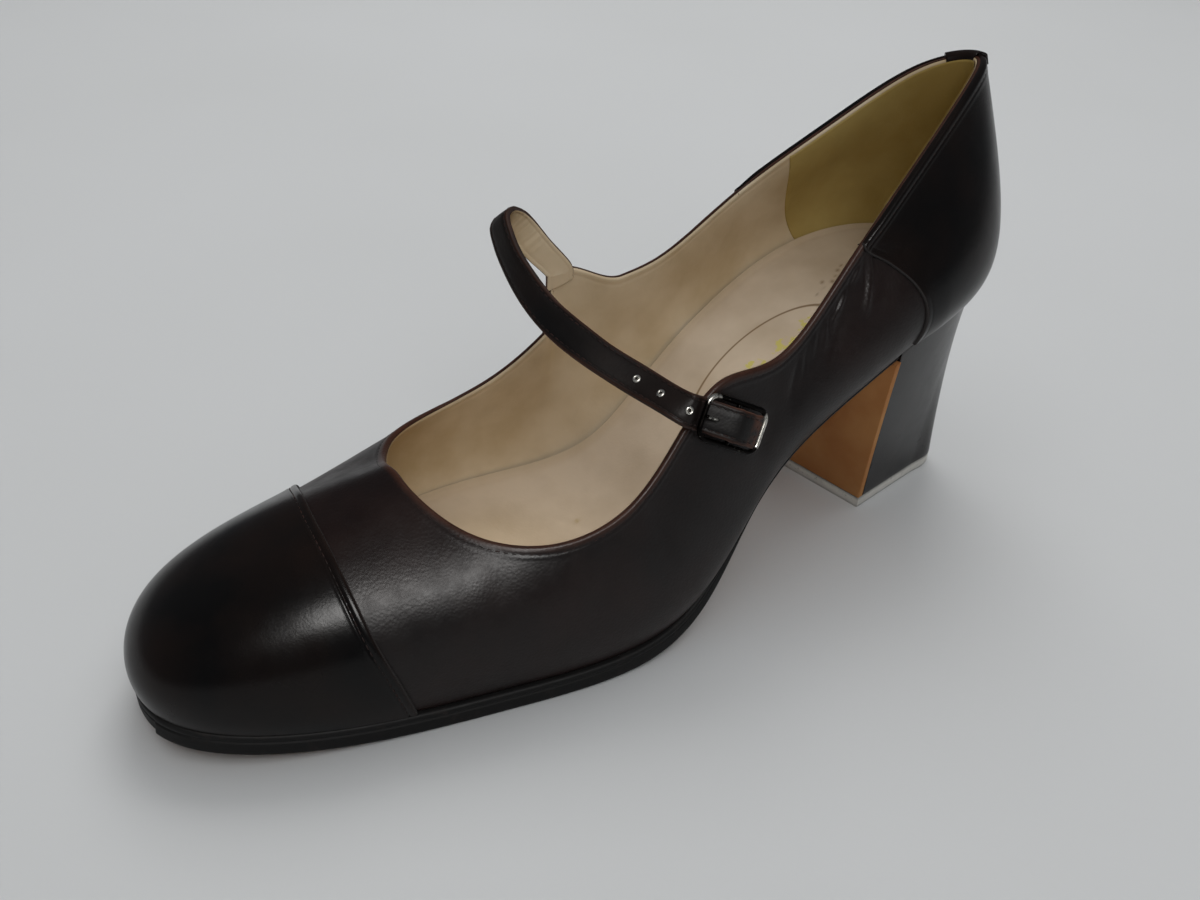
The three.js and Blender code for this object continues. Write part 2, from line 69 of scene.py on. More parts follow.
# Rows from the back of the heel to the tip of the toe.
# seat: distance from the back, half width outside and inside, height of the feather edge
# side: lean and rise of the wall, then lean, drop and forward pull under the top
# top: distance from the back, half width outside and inside, height outside and inside
ROWS = [
    ((3, 0, 0, 63), (12, 14, 9, 18, 0), (6, 0, 0, 122, 122)),
    ((10, 20, 23, 64), (10, 14, 6, 17, 0), (18, 9, 12, 121, 119)),
    ((37, 28, 30, 63), (6, 14, 3, 14, 0), (43, 16.5, 17.5, 103, 103)),
    ((62, 30, 29, 53), (5, 13, 3, 13, 0), (69, 23.5, 24, 84, 87)),
    ((87, 29, 26, 38), (6, 13, 2, 12, 0), (89, 28.5, 26.5, 64, 69)),
    ((104, 34, 26, 17), (8, 13, 2, 13, 0), (108, 28.5, 29.5, 72, 68.5)),
    ((121, 40, 34, 7.5), (7, 15, 3, 14, 0), (122, 32, 31, 56, 54.5)),
    ((143, 41, 40, 6), (5, 16.5, 4, 13.5, 0), (136, 36.5, 34, 45, 43.5)),
    ((169, 36, 38.5, 6), (4, 17, 6, 12, 2.5), (154.5, 35, 34, 41.5, 40)),
    ((195, 31, 33.5, 6), (3.5, 17, 10, 10, 8), (169, 25.5, 26.5, 43.5, 42)),
    ((219, 25, 28.5, 8.5), (5, 17, 14, 9, 18), (175, 14, 14, 47, 43.5)),
    ((238, 15, 21, 11), (7, 18.5, 12, 8, 30), (177.5, 5, 5, 50, 49.5)),
    ((244.5, 0, 0, 12), (7.5, 18.5, 0, 10, 38), (177, 0, 0, 50, 50)),
]
TIP = len(ROWS) - 1  # rib at the tip of the toe
RIBS = 2 * TIP  # ribs all the way round, the inner side counts on from the toe

# Ear of the inner quarter that carries the strap, in ribs round the shoe
EAR_FRONT, EAR_CREST, EAR_BACK, EAR_RISE = 18.02, 18.42, 19.45, 10.5
EAR_LEAN = (0.2, -0.25, 1)

# Toe cap seam: foremost point, how far out that is, how fast it falls back from there, and
# the height under which it leans back as well, by how much
CAP_SEAM, CAP_MIDDLE, CAP_BOW, CAP_KNEE, CAP_LEAN = 197.9, 14, 0.003, 30, 0.3

# Side seam of the heel counter: distance from the back outside and inside, height
COUNTER_SEAM = [(64, 71, 96), (61.5, 68, 88.5), (54.5, 60, 83.5), (47.7, 51, 77.3),
                (44.3, 45.5, 71.4), (43.5, 43.5, 65), (45.2, 45.2, 58), (46, 46, 50)]

# Floor outline of the heel
HEEL_FLOOR = [(56, 21.5), (44.5, 19.2), (33, 17), (20, 14.5), (10.2, 12.4), (6.7, 7.5),
              (6.7, -7.5), (10.6, -13), (22, -16.8), (36, -19.2), (50.5, -20), (60, -20.3)]
HEEL_WAIST = 0.4
BREAST_START, BREAST_LEAN, BREAST_SKEW = 46.2, 0.127, 0.2
SOLE, WAIST_SOLE, TOP_PIECE, BREAST_COVER = 5.8, 2.2, 3.5, 1.8

# Strap over the instep: place, and the way it faces
STRAP_WIDTH, STRAP = 8, 1.5
STRAP_PATH = [
    ((121.2, -33.6, 79.2), (-0.3, -0.9, 0)), ((124.5, -36.7, 84.1), (-0.1, -0.9, 0.4)),
    ((127.2, -38.7, 87), (0.2, -0.65, 0.74)), ((129.9, -37, 86.5), (0.7, -0.35, 0.6)),
    ((131.4, -32.4, 83.6), (0.9, -0.1, 0.4)), ((132, -24.4, 78.8), (0.9, 0, 0.45)),
    ((131.4, -11, 73.5), (0.75, 0.1, 0.65)), ((128.3, 5, 70), (0.5, 0.2, 0.85)),
    ((123, 18, 66.8), (0.4, 0.45, 0.8)),
]
STRAP_ROOT = (18.62, (0.92, 0.955, 0.99))  # between the leather and the lining of the ear
# Strap through the buckle: distance along the buckle, height over the wire
STRAP_END = [(-13.5, -1.1), (-10.2, -1.95), (-8.5, -1.65), (-5, 0.35), (-1.5, 2.45), (0, 2.9),
             (3.2, 2.5), (6.4, 1.5)]
HOLES = (18.6, 11, 3.4)  # open holes, back from the outer bar of the buckle
BUCKLE_AT, BUCKLE_DOWN, BUCKLE_LIFT = (5.06, 0.79), 0.62, 2.9
BUCKLE_LENGTH, BUCKLE_WIDTH, WIRE = 20, 11.8, 0.65
BRIGHT_SIDE = 1  # the side of the buckle, toward the topline, where the plating is rubbed
WIRE_CORNER = 2.6  # radius of the buckle's corners
# Prong from the centre bar to its tip: distance along the buckle, height over the bar
PRONG = [(-1.55, -0.35), (-3.4, -0.4), (-4.4, -0.05), (-5.2, 0.5), (-6.4, 1.2), (-8.4, 1.55),
         (-9.9, 1.45)]
PRONG_RADIUS = 0.45
STITCH_START, STITCH_END, CROSS_STITCH = 0.19, 0.985, 0.972  # parts of the strap's length

# Grids that the overlays are cut from: places round the shoe in ribs, places up the wall
CAP_PATCH = (np.linspace(6.9, 17.1, 330), np.linspace(0, 0.99, 130))
COUNTER_PATCH = (np.linspace(-4.4, 4.4, 330),
                 np.concatenate([np.linspace(0, 0.86, 74), np.linspace(0.87, 1, 20),
                                 np.linspace(1.08, 1.8, 9)]))
GRIP_PATCH = (np.linspace(-3.4, 3.4, 150), np.linspace(0.02, 1.2, 88))
# Edges of the overlays: distance in from the cut, height, from the flat leather to the cut
CAP_EDGE = [(3.4, 0.0), (3.0, 0.02), (2.75, 0.08), (2.5, 0.1), (2.3, 0.02), (2.1, -0.1),
            (1.9, -0.12), (1.7, -0.03), (1.45, 0.1), (1.1, 0.15), (0.7, 0.14), (0.4, 0.06),
            (0.2, -0.05), (0.06, -0.2), (0.0, -0.35), (0.0, -1.1)]
COUNTER_EDGE = [(3.0, 0.0), (2.5, 0.0), (2.2, -0.02), (1.9, -0.06), (1.6, -0.02), (1.2, 0.02),
                (0.7, 0.03), (0.4, 0.02), (0.15, -0.06), (0.0, -0.25), (0.0, -0.7)]
GRIP_EDGE = [(1.2, -0.1), (0.8, -0.14), (0.4, -0.2), (0.1, -0.28), (0.0, -0.5)]
CAP_SEWN, COUNTER_SEWN = 2.0, 1.9  # distance of the stitches from the cut edge
COUNTER_FACE, SKIVED, SKIVE_WIDTH = OVERLAY - 0.1, 0.5, 9  # thinned toward its seam, over a width
# Front edge of the heel grip: where it is at the sock, then how it goes forward with height
GRIP_FOOT, GRIP_FRONT, GRIP_SLOPE, GRIP_CURVE = 67.8, 41, 0.54, 0.004
# Edge of the sole from the tread up: inset, part of the thickness, part of the groove
SOLE_EDGE = [(1.6, 1, 0), (0.8, 1, 0), (0.35, 0.97, 0), (0.1, 0.9, 0), (0, 0.78, 0), (0, 0.6, 0),
             (0, 0.42, 0), (0, 0.36, 0), (0, 0.33, 1), (0, 0.29, 1), (0, 0.26, 0), (0, 0.14, 0),
             (0.1, 0.06, 0), (0.35, 0.01, 0), (0.9, 0, 0)]
# Edge of the top piece: height, inset
TOP_PIECE_EDGE = [(0, 0.8), (0.12, 0.45), (0.5, 0.15), (1.0, 0.1), (TOP_PIECE - 0.3, 0.1),
                  (TOP_PIECE, 0.25)]
HEEL_MIDDLE = 32  # from the back of the heel
SEAT_INSET = -0.9  # of the heel under the feather edge
# Ring of an eyelet: radius, height over the strap
EYELET = [(0.36, -0.7), (0.36, 0.05), (0.44, 0.24), (0.62, 0.36), (0.8, 0.33), (0.95, 0.2),
          (1.02, 0.02), (1.02, -0.2)]
OFF_EDGE = 9.0  # distance from an edge, for leather that has no cut edge in view
# Sock, along and outward: middle and half size of the stamped oval, worn sprigs of gold leaf,
# and one more that is almost gone
OVAL_MIDDLE, OVAL_HALF = (73, 3), (22, 11.4)
SPRIGS, LAST_SPRIG = ((76, 1.4), (67.3, 2.3), (59, 1.6)), (92, -20)

# Stage, in metres and watts. Camera, in millimetres and degrees: what it looks at, how far it
# is from there, how far round from the toe and above, and its roll
DAYLIGHT, ROOM_COLOUR, ROOM_LIGHT = (1, 0.99, 0.97), (0.72, 0.76, 0.82, 1), 0.15
# name, place, aimed at, size, watts, whether the leather mirrors it, whether it lights the rest
LIGHTS = [
    ("ceiling_panel", (0.1, 0.1, 2.2), (0, 0, 0.05), (3.0, 3.0), 30, False, True),
    ("far_window", (-0.62, 0.42, 1.1), (0, 0, 0.04), (0.7, 0.7), 5.5, False, True),
    ("window_by_the_toe_side", (0.78, -0.26, 0.94), (0, -0.02, 0.04), (0.48, 0.36), 11.5, True, False),
    ("fill_by_the_toe_side", (0.78, -0.26, 0.94), (0, -0.02, 0.04), (0.5, 0.5), 2.6, False, True),
]
FLOOR_REACH = 6.0
LOOKS_AT, AWAY = (4.61, -3.06, 40), 301.37
TURN, ABOVE, ROLL = 57.21, 35.29, 1.72
FOCAL_LENGTH = SENSOR_WIDTH = 36


def unit(p):
    return p / np.maximum(np.linalg.norm(p, axis=-1, keepdims=True), 1e-9)


def ease(x):
    x = np.clip(x, 0, 1)
    return x * x * (3 - 2 * x)


def bell(x, width):
    """One soft hump, 1 in the middle."""
    return np.exp(-(x / width) ** 2)


def rib_controls():
    """Feather edge, low wall, high wall and topline points of every rib."""
    frames = []
    for k in range(RIBS):
        outer = k <= TIP
        seat, side, top = ROWS[k if outer else RIBS - k]
        frames.append((np.array([seat[0], seat[1] if outer else -seat[2], seat[3]], float),
                       np.array([top[0], top[1] if outer else -top[2],
                                 top[3] if outer else top[4]], float), side))
    controls = np.zeros((4, RIBS, 3))
    for k, (seat, top, (lean, rise, shoulder, drop, pull)) in enumerate(frames):
        along = frames[(k + 1) % RIBS][0] - frames[k - 1][0]
        out = unit(np.array([-along[1], along[0], 0]))
        controls[:, k] = (seat, seat + out * lean + (0, 0, rise),
                          top + out * shoulder + (pull, 0, -drop), top)
    return controls


CONTROLS = rib_controls()


def around(which, r):
    """Smooth curve round the shoe through one set of control points."""
    i = np.floor(r).astype(int)
    t = (r - i)[..., None]
    weights = ((1 - t) ** 3, 3 * t ** 3 - 6 * t * t + 4, -3 * t ** 3 + 3 * t * t + 3 * t + 1,
               t ** 3)
    return sum(w * CONTROLS[which][(i - 1 + j) % RIBS] for j, w in enumerate(weights)) / 6


def last(r, v):
    """Last surface: r in ribs round the shoe, v from the feather edge to the topline."""
    r, v = np.broadcast_arrays(np.asarray(r, float) % RIBS, np.asarray(v, float))
    rise = EAR_RISE * ease((r - EAR_FRONT) / (EAR_CREST - EAR_FRONT))
    rise = rise * (1 - ease((r - EAR_CREST - 0.08) / (EAR_BACK - EAR_CREST - 0.08)))
    ear = rise[..., None] * np.array(EAR_LEAN)
    v = v[..., None]
    return ((1 - v) ** 3 * around(0, r) + 3 * v * (1 - v) ** 2 * around(1, r)
            + 3 * v * v * (1 - v) * (around(2, r) + 0.6 * ear) + v ** 3 * (around(3, r) + ear))


def last_frame(r, v):
    """Outward normal of the last surface and the way up along it."""
    r, v = np.broadcast_arrays(np.asarray(r, float), np.asarray(v, float))
    low, high = np.clip(v - 0.02, 0, 1), np.clip(v + 0.02, 0, 1)
    up = unit(last(r, high) - last(r, low))
    along = last(r + 0.02, v) - last(r - 0.02, v)
    return -unit(np.cross(along, up)), up


def wall_height(r):
    """Millimetres up the last for a step of 1 in v, just under the topline."""
    low = 0.97
    return np.linalg.norm(last(r, np.ones_like(r)) - last(r, np.full_like(r, low)), axis=-1) / (1 - low)


def wall(r, v, face=SKIN, depth=WALL):
    """Point on a wall of that depth.

    v goes 0 to 1 up the outer face, 1 to 2 over the top and 2 to 3 down inside."""
    r, v, face = np.broadcast_arrays(np.asarray(r, float), np.asarray(v, float), face)
    round_top = depth / 2
    stop = 1 - round_top / wall_height(r)
    up = np.where(v <= 1, v, np.where(v >= 2, 3 - v, 1)) * stop
    normal, rising = last_frame(r, up)
    turn = np.pi * np.clip(v - 1, 0, 1)
    across = face - round_top + round_top * np.cos(turn)
    return (last(r, up) + normal * across[..., None]
            + rising * (round_top * np.sin(turn))[..., None])


def feather(r, out, up):
    """Feather line moved outward in the plane of the sole and up square to it."""
    r = np.asarray(r, float) % RIBS
    along = around(0, (r + 0.05) % RIBS) - around(0, (r - 0.05) % RIBS)
    slope = np.where(r < TIP, 1, -1)[..., None] * along * (1, 0, 1)
    near_end = np.minimum(r % TIP, TIP - r % TIP) < 0.5
    face = unit(np.stack([-slope[..., 2], 0 * r, slope[..., 0]], -1))
    face = np.where(near_end[..., None], np.array([0.0, 0, 1]), face)
    square = unit(np.cross(face, along))
    out, up, _ = np.broadcast_arrays(np.asarray(out, float), np.asarray(up, float), r)
    return around(0, r) + square * out[..., None] + face * up[..., None]


def curve_through(points, f):
    """Smooth line through the points, f from 0 to 1 over all of them."""
    points = np.asarray(points, float)
    padded = np.vstack([2 * points[0] - points[1], points, 2 * points[-1] - points[-2]])
    spot = np.clip(np.asarray(f, float), 0, 1) * (len(points) - 1)
    i = np.minimum(spot.astype(int), len(points) - 2)
    t = (spot - i)[..., None]
    p0, p1, p2, p3 = (padded[i + k] for k in range(4))
    d0, d1, d2 = (np.maximum(np.linalg.norm(b - a, axis=-1, keepdims=True), 1e-4) ** 0.5
                  for a, b in ((p0, p1), (p1, p2), (p2, p3)))
    t1 = ((p1 - p0) / d0 - (p2 - p0) / (d0 + d1) + (p2 - p1) / d1) * d1
    t2 = ((p2 - p1) / d1 - (p3 - p1) / (d1 + d2) + (p3 - p2) / d2) * d1
    return (p1 + t * t1 + t * t * (-3 * p1 + 3 * p2 - 2 * t1 - t2)
            + t ** 3 * (2 * p1 - 2 * p2 + t1 + t2))


# ---------------------------------------------------------------- making meshes

def piece(name, points, faces, materials, picks=None, replaces=(), slot=None, marks=None):
    """A mesh from points in millimetres on the last, riding on the shoe."""
    points = np.asarray(points, float).reshape(-1, 3)
    placed = np.stack([points[:, 1], ORIGIN_S - points[:, 0], points[:, 2]], 1) * MM
    mesh = bpy.data.meshes.new(name)
    mesh.from_pydata(placed.tolist(), [], [tuple(int(i) for i in f) for f in faces])
    mesh.validate()
    for material in materials:
        mesh.materials.append(material)
    if picks is not None:
        mesh.polygons.foreach_set("material_index", np.asarray(picks, dtype=np.int32))
    for key, values in (marks or {}).items():
        mark = mesh.attributes.new(key, "FLOAT", "POINT")
        mark.data.foreach_set("value", np.asarray(values, dtype=np.float32).ravel())
    face_out(mesh)
    mesh.polygons.foreach_set("use_smooth", [True] * len(mesh.polygons))
    made = bpy.data.objects.new(name, mesh)
    bpy.context.scene.collection.objects.link(made)
    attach(made, "root")
    if replaces:
        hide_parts(*replaces)
    return made


def face_out(mesh):
    """Turns faces to agree with each other, and outward where the mesh is closed."""
    made = bmesh.new()
    made.from_mesh(mesh)
    bmesh.ops.recalc_face_normals(made, faces=made.faces)
    made.to_mesh(mesh)
    made.free()


def grid_faces(rows, columns, closed=False, start=0):
    """Quads between rows of points, round and round where closed."""
    j, i = np.meshgrid(np.arange(rows - 1), np.arange(columns if closed else columns - 1),
                       indexing="ij")
    k = (i + 1) % columns
    a, b = start + j * columns, start + (j + 1) * columns
    return np.stack([a + i, a + k, b + k, b + i], -1).reshape(-1, 4)


def smooth_edges(made, width, segments=2, angle=40):
    """Rounds the sharp edges of a piece by a width in millimetres."""
    bevel = made.modifiers.new("edge", "BEVEL")
    bevel.width, bevel.segments = width * MM, segments
    bevel.limit_method, bevel.angle_limit = "ANGLE", math.radians(angle)


def cut_patch(rs, vs, field):
    """Part of an r by v patch where field is positive: places, faces, and the cut edge in order."""
    R, V = np.meshgrid(rs, vs)
    F = field(R, V)
    keep = F > 0
    index = np.full(F.shape, -1)
    index[keep] = np.arange(keep.sum())
    places = list(zip(R[keep], V[keep]))
    crossings, faces, rim = {}, [], {}

    def crossing(a, b):
        key = (min(a, b), max(a, b))
        if key not in crossings:
            f = F[a] / (F[a] - F[b])
            crossings[key] = len(places)
            places.append((R[a] + (R[b] - R[a]) * f, V[a] + (V[b] - V[a]) * f))
        return crossings[key]

    kept = keep[:-1, :-1].astype(int) + keep[:-1, 1:] + keep[1:, 1:] + keep[1:, :-1]
    for j, i in np.argwhere(kept > 0):
        corners = [(j, i), (j, i + 1), (j + 1, i + 1), (j + 1, i)]
        if kept[j, i] == 4:
            faces.append([index[c] for c in corners])
            continue
        face, ends = [], []
        for a, b in zip(corners, corners[1:] + corners[:1]):
            if keep[a]:
                face.append(index[a])
            if keep[a] != keep[b]:
                face.append(crossing(a, b))
                ends.append(face[-1])
        if len(face) > 2:
            faces.append(face)
        if len(ends) == 2:
            rim.setdefault(ends[0], []).append(ends[1])
            rim.setdefault(ends[1], []).append(ends[0])
    chains = []
    ends = [p for p, q in rim.items() if len(q) == 1] or list(rim)[:1]
    seen = set()
    for end in ends:
        if end in seen:
            continue
        chain, at = [end], end
        seen.add(end)
        while True:
            following = [q for q in rim[at] if q not in seen]
            if not following:
                break
            at = following[0]
            seen.add(at)
            chain.append(at)
        chains.append(chain)
    return np.array(places), faces, chains


def to_level(r, v, field, level):
    """Moves places along the surface until the field has that value."""
    step = 0.004
    for _ in range(4):
        miss = field(r, v) - level
        dr = (field(r + step, v) - field(r - step, v)) / (2 * step)
        dv = (field(r, v + step) - field(r, v - step)) / (2 * step)
        # a rib is about 18 mm round the shoe and the wall is about 60 mm high
        gr, gv = dr / 18 ** 2, dv / 60 ** 2
        move = miss / np.maximum(dr * gr + dv * gv, 1e-6)
        r, v = r - move * gr, np.maximum(v - move * gv, 0)
    return r, v


def overlay(rs, vs, field, surface, profile):
    """Leather laid over the upper: a patch, its edge following the profile of (distance in, height)."""
    first = profile[0][0]
    places, faces, chains = cut_patch(rs, vs, lambda r, v: field(r, v) - first)
    points = [surface(places[:, 0], places[:, 1], 0.0)]
    edge = [np.full(len(places), first)]
    count = len(places)
    for chain in chains:
        r, v = places[chain, 0], places[chain, 1]
        row = np.array(chain)
        for distance, height in profile[1:]:
            r, v = to_level(r, v, field, distance)
            points.append(surface(r, v, height))
            edge.append(np.full(len(r), distance))
            new = count + np.arange(len(r))
            count += len(r)
            faces += np.stack([row[:-1], row[1:], new[1:], new[:-1]], 1).tolist()
            row = new
    edge[0] = np.maximum(field(places[:, 0], places[:, 1]), first)
    return np.vstack(points), faces, np.concatenate(edge)


def joined(bodies):
    """One mesh from several, each given as points and faces."""
    points, faces = [], []
    for more_points, more_faces in bodies:
        faces += [[i + len(points) for i in face] for face in more_faces]
        points += list(more_points)
    return points, faces


def run_of_stitches(line, normals, pitch, length, radius):
    """Thread along a line of points: one long bead for each stitch."""
    steps = np.linalg.norm(np.diff(line, axis=0), axis=1)
    reach = np.concatenate([[0], np.cumsum(steps)])
    middles = np.arange(pitch, reach[-1] - pitch / 2, pitch)
    at = np.stack([np.interp(middles, reach, line[:, k]) for k in range(3)], 1)
    ahead = np.stack([np.interp(middles + 0.2, reach, line[:, k]) for k in range(3)], 1)
    along = unit(ahead - at)
    normal = np.stack([np.interp(middles, reach, normals[:, k]) for k in range(3)], 1)
    normal = unit(normal - along * (normal * along).sum(1, keepdims=True))
    side = np.cross(along, normal)
    bead = ((-1, 0.15), (-0.9, 0.6), (-0.55, 0.95), (0, 1), (0.55, 0.95), (0.9, 0.6), (1, 0.15))
    sides = 6
    points, faces = [], []
    for k in range(len(at)):
        start = len(points)
        for x, size in bead:
            sink = -0.7 * radius * x * x
            for a in range(sides):
                angle = 2 * math.pi * a / sides
                points.append(at[k] + along[k] * x * length / 2
                              + side[k] * radius * size * math.cos(angle)
                              + normal[k] * (sink + radius * size * math.sin(angle)))
        faces += grid_faces(len(bead), sides, True, start).tolist()
        faces.append(tuple(range(start, start + sides)))
        faces.append(tuple(range(start + sides * (len(bead) - 1), start + sides * len(bead))))
    return points, faces


# ---------------------------------------------------------------- making materials

def add(tree, kind, inputs=None, **settings):
    """Adds a shader node with its settings, each input set to a value or joined to a socket."""
    made = tree.nodes.new("ShaderNode" + kind)
    for key, value in settings.items():
        setattr(made, key, value)
    for key, value in (inputs or {}).items():
        if isinstance(value, bpy.types.NodeSocket):
            tree.links.new(value, made.inputs[key])
        else:
            made.inputs[key].default_value = value
    return made


def blank(name, **settings):
    """A material with only its shader, and where on the shoe a point lies."""
    material = bpy.data.materials.new(name)
    material.use_nodes = True
    tree = material.node_tree
    shader = tree.nodes["Principled BSDF"]
    for key, value in settings.items():
        shader.inputs[key.replace("_", " ").title().replace("Ior", "IOR")].default_value = value
    return material, tree, shader, add(tree, "TexCoord").outputs["Object"]


def four(colour):
    return (*colour[:3], 1)


def leather(name, colour, worn, grain=0.7, depth=0.035, roughness=0.34, uneven=0.07, coat=0.25,
            blotch=0.35, edge=None, shine=0.5, lump=0.25, rubbed=None, rub=(0.9, 0.75), wear=None):
    """Smooth leather: a pebbled grain in mm, a soft change of colour, and rubbed edges.

    edge names a mark on the mesh that holds the distance from a cut or folded edge in mm, wear one
    that holds how far the finish has gone. rub is the width of a rubbed edge and its strength."""
    rubbed = rubbed or worn
    material, tree, shader, where = blank(name, ior=1.5, coat_weight=coat, coat_roughness=0.16,
                                          specular_ior_level=shine)
    # pebbles: one cell for each grain of the hide, pulled about a little so they don't line up
    wander = add(tree, "TexNoise", {"Vector": where, "Scale": 1 / (3 * grain * MM), "Detail": 2.0})
    pulled = add(tree, "Mix", {"Factor": 0.0004, 4: where, 5: wander.outputs["Color"]},
                 data_type="VECTOR")
    cells = add(tree, "TexVoronoi", {"Vector": pulled.outputs[1], "Scale": 1 / (grain * MM),
                                     "Smoothness": 0.5}, feature="SMOOTH_F1")
    # the hide is uneven over about 25 mm, and handling scuffs it over about 6 mm
    hide = add(tree, "TexNoise", {"Vector": where, "Scale": 1 / (25 * MM), "Detail": 4.0})
    scuff = add(tree, "TexNoise", {"Vector": where, "Scale": 1 / (6 * MM), "Detail": 7.0,
                                   "Roughness": 0.68})
    patches = add(tree, "MapRange", {"Value": hide.outputs["Fac"], "From Min": 0.38,
                                     "From Max": 0.68})
    tint = add(tree, "Mix", {"Factor": blotch, 6: four(colour), 7: four(worn)}, data_type="RGBA")
    base = add(tree, "Mix", {"Factor": patches.outputs[0], 6: four(colour), 7: tint.outputs[2]},
               data_type="RGBA")
    base = base.outputs[2]
    if edge:
        near = add(tree, "Attribute", attribute_name=edge)
        bare = add(tree, "MapRange", {"Value": near.outputs["Fac"], "From Min": 0.0,
                                      "From Max": rub[0], "To Min": rub[1], "To Max": 0.0})
        bare = add(tree, "Math", {0: bare.outputs[0], 1: scuff.outputs["Fac"]},
                   operation="MULTIPLY")
        base = add(tree, "Mix", {"Factor": bare.outputs[0], 6: base, 7: four(rubbed)},
                   data_type="RGBA").outputs[2]
    if wear:
        gone = add(tree, "MapRange", {"Value": scuff.outputs["Fac"], "From Min": 0.43,
                                      "From Max": 0.55})
        spent = add(tree, "Attribute", attribute_name=wear)
        gone = add(tree, "Math", {0: gone.outputs[0], 1: spent.outputs["Fac"]},
                   operation="MULTIPLY")
        base = add(tree, "Mix", {"Factor": gone.outputs[0], 6: base, 7: four(rubbed)},
                   data_type="RGBA").outputs[2]
    tree.links.new(base, shader.inputs["Base Color"])
    gloss = add(tree, "MapRange", {"Value": scuff.outputs["Fac"], "From Min": 0.3, "From Max": 0.7,
                                   "To Min": roughness - uneven, "To Max": roughness + uneven})
    tree.links.new(gloss.outputs[0], shader.inputs["Roughness"])
    grainy = add(tree, "Bump", {"Strength": 0.55, "Distance": depth * MM,
                                "Height": cells.outputs["Distance"]})
    lumpy = add(tree, "Bump", {"Strength": 0.35, "Distance": lump * MM,
                               "Height": scuff.outputs["Fac"], "Normal": grainy.outputs[0]})
    tree.links.new(lumpy.outputs[0], shader.inputs["Normal"])
    return material


def oxblood_kid(colours):
    """Aniline dyed kid, plated: very dark red brown, fine pebbles, a broad satin highlight."""
    return leather("plated_oxblood_kid_leather", colours.quarter, colours.worn_quarter, grain=0.7,
                   depth=0.06, roughness=0.41, blotch=0.35, coat=0.0, edge="from_edge", shine=0.28,
                   lump=0.14, rubbed=colours.raw_edge, rub=(1.2, 0.95))


def black_calf(colours):
    """Glazed calf: nearly black, almost no grain, a tighter highlight than the kid."""
    return leather("glazed_black_calf_leather", colours.calf, colours.worn_calf, grain=0.55,
                   depth=0.015, roughness=0.24, uneven=0.04, coat=0.0, blotch=0.3, edge="from_edge",
                   shine=0.17, lump=0.1)


def strap_calf(colours):
    """Black calf worn dull by the buckle: little shine, brown where the finish has cracked."""
    return leather("worn_black_strap_calf", colours.calf, colours.worn_calf, grain=0.6, depth=0.06,
                   roughness=0.5, coat=0.0, blotch=0.3, edge="from_edge", shine=0.2, lump=0.2,
                   rubbed=colours.raw_edge, rub=(0.9, 1.1), wear="wear")


def lining_leather(colours):
    """Drum dyed goat lining, undyed finish: pinkish beige, dry, darkened where the foot rubs."""
    return leather("drum_dyed_goat_lining_leather", colours.lining, colours.worn_lining_and_sock_shade, grain=0.9,
                   depth=0.03, roughness=0.66, coat=0.0, blotch=0.75, shine=0.15)


def grip_suede(colours):
    """Suede turned nap side in, to hold the heel: yellowish olive, matt, patchy with wear."""
    return leather("napped_suede_heel_grip", colours.grip, colours.worn_grip, grain=0.6,
                   depth=0.08, roughness=0.85, coat=0.0, blotch=0.9, shine=0.15)


def raw_edge(colours):
    """Cut edge of dyed leather: the fibres show red brown and rough where the dye stopped."""
    return leather("raw_cut_leather_edge", colours.raw_edge, colours.calf, grain=0.5, depth=0.12,
                   roughness=0.75, coat=0.0, blotch=0.9)


def polyester_thread(colours):
    """Bonded polyester sewing thread: dark, a dull sheen along each stitch."""
    material, tree, shader, where = blank("bonded_polyester_thread", ior=1.57, roughness=0.7,
                                          specular_ior_level=0.2)
    # three plies twisted every 0.8 mm
    twist = add(tree, "TexWave", {"Vector": where, "Scale": 1 / (0.8 * MM) / 20, "Distortion": 1.0},
                bands_direction="DIAGONAL")
    base = add(tree, "Mix", {"Factor": twist.outputs["Fac"], 6: four(colours.thread),
                             7: four(colours.worn_quarter)}, data_type="RGBA")
    tree.links.new(base.outputs[2], shader.inputs["Base Color"])
    return material


def nickel(name, colour, tarnish, roughness):
    """Nickel plated wire: bright where it is rubbed, brown black tarnish in the hollows."""
    material, tree, shader, where = blank(name, metallic=1.0)
    spots = add(tree, "TexNoise", {"Vector": where, "Scale": 1 / (1.6 * MM), "Detail": 5.0,
                                   "Roughness": 0.6})
    rubbed = add(tree, "Attribute", attribute_name="rubbed")
    kept = add(tree, "Math", {0: spots.outputs["Fac"], 1: rubbed.outputs["Fac"]},
               operation="SUBTRACT")
    cover = add(tree, "MapRange", {"Value": kept.outputs[0], "From Min": 0.12, "From Max": 0.34})
    base = add(tree, "Mix", {"Factor": cover.outputs[0], 6: four(colour), 7: four(tarnish)},
               data_type="RGBA")
    tree.links.new(base.outputs[2], shader.inputs["Base Color"])
    rough = add(tree, "MapRange", {"Value": spots.outputs["Fac"], "From Min": 0.35, "From Max": 0.7,
                                   "To Min": roughness, "To Max": roughness + 0.25})
    tree.links.new(rough.outputs[0], shader.inputs["Roughness"])
    return material


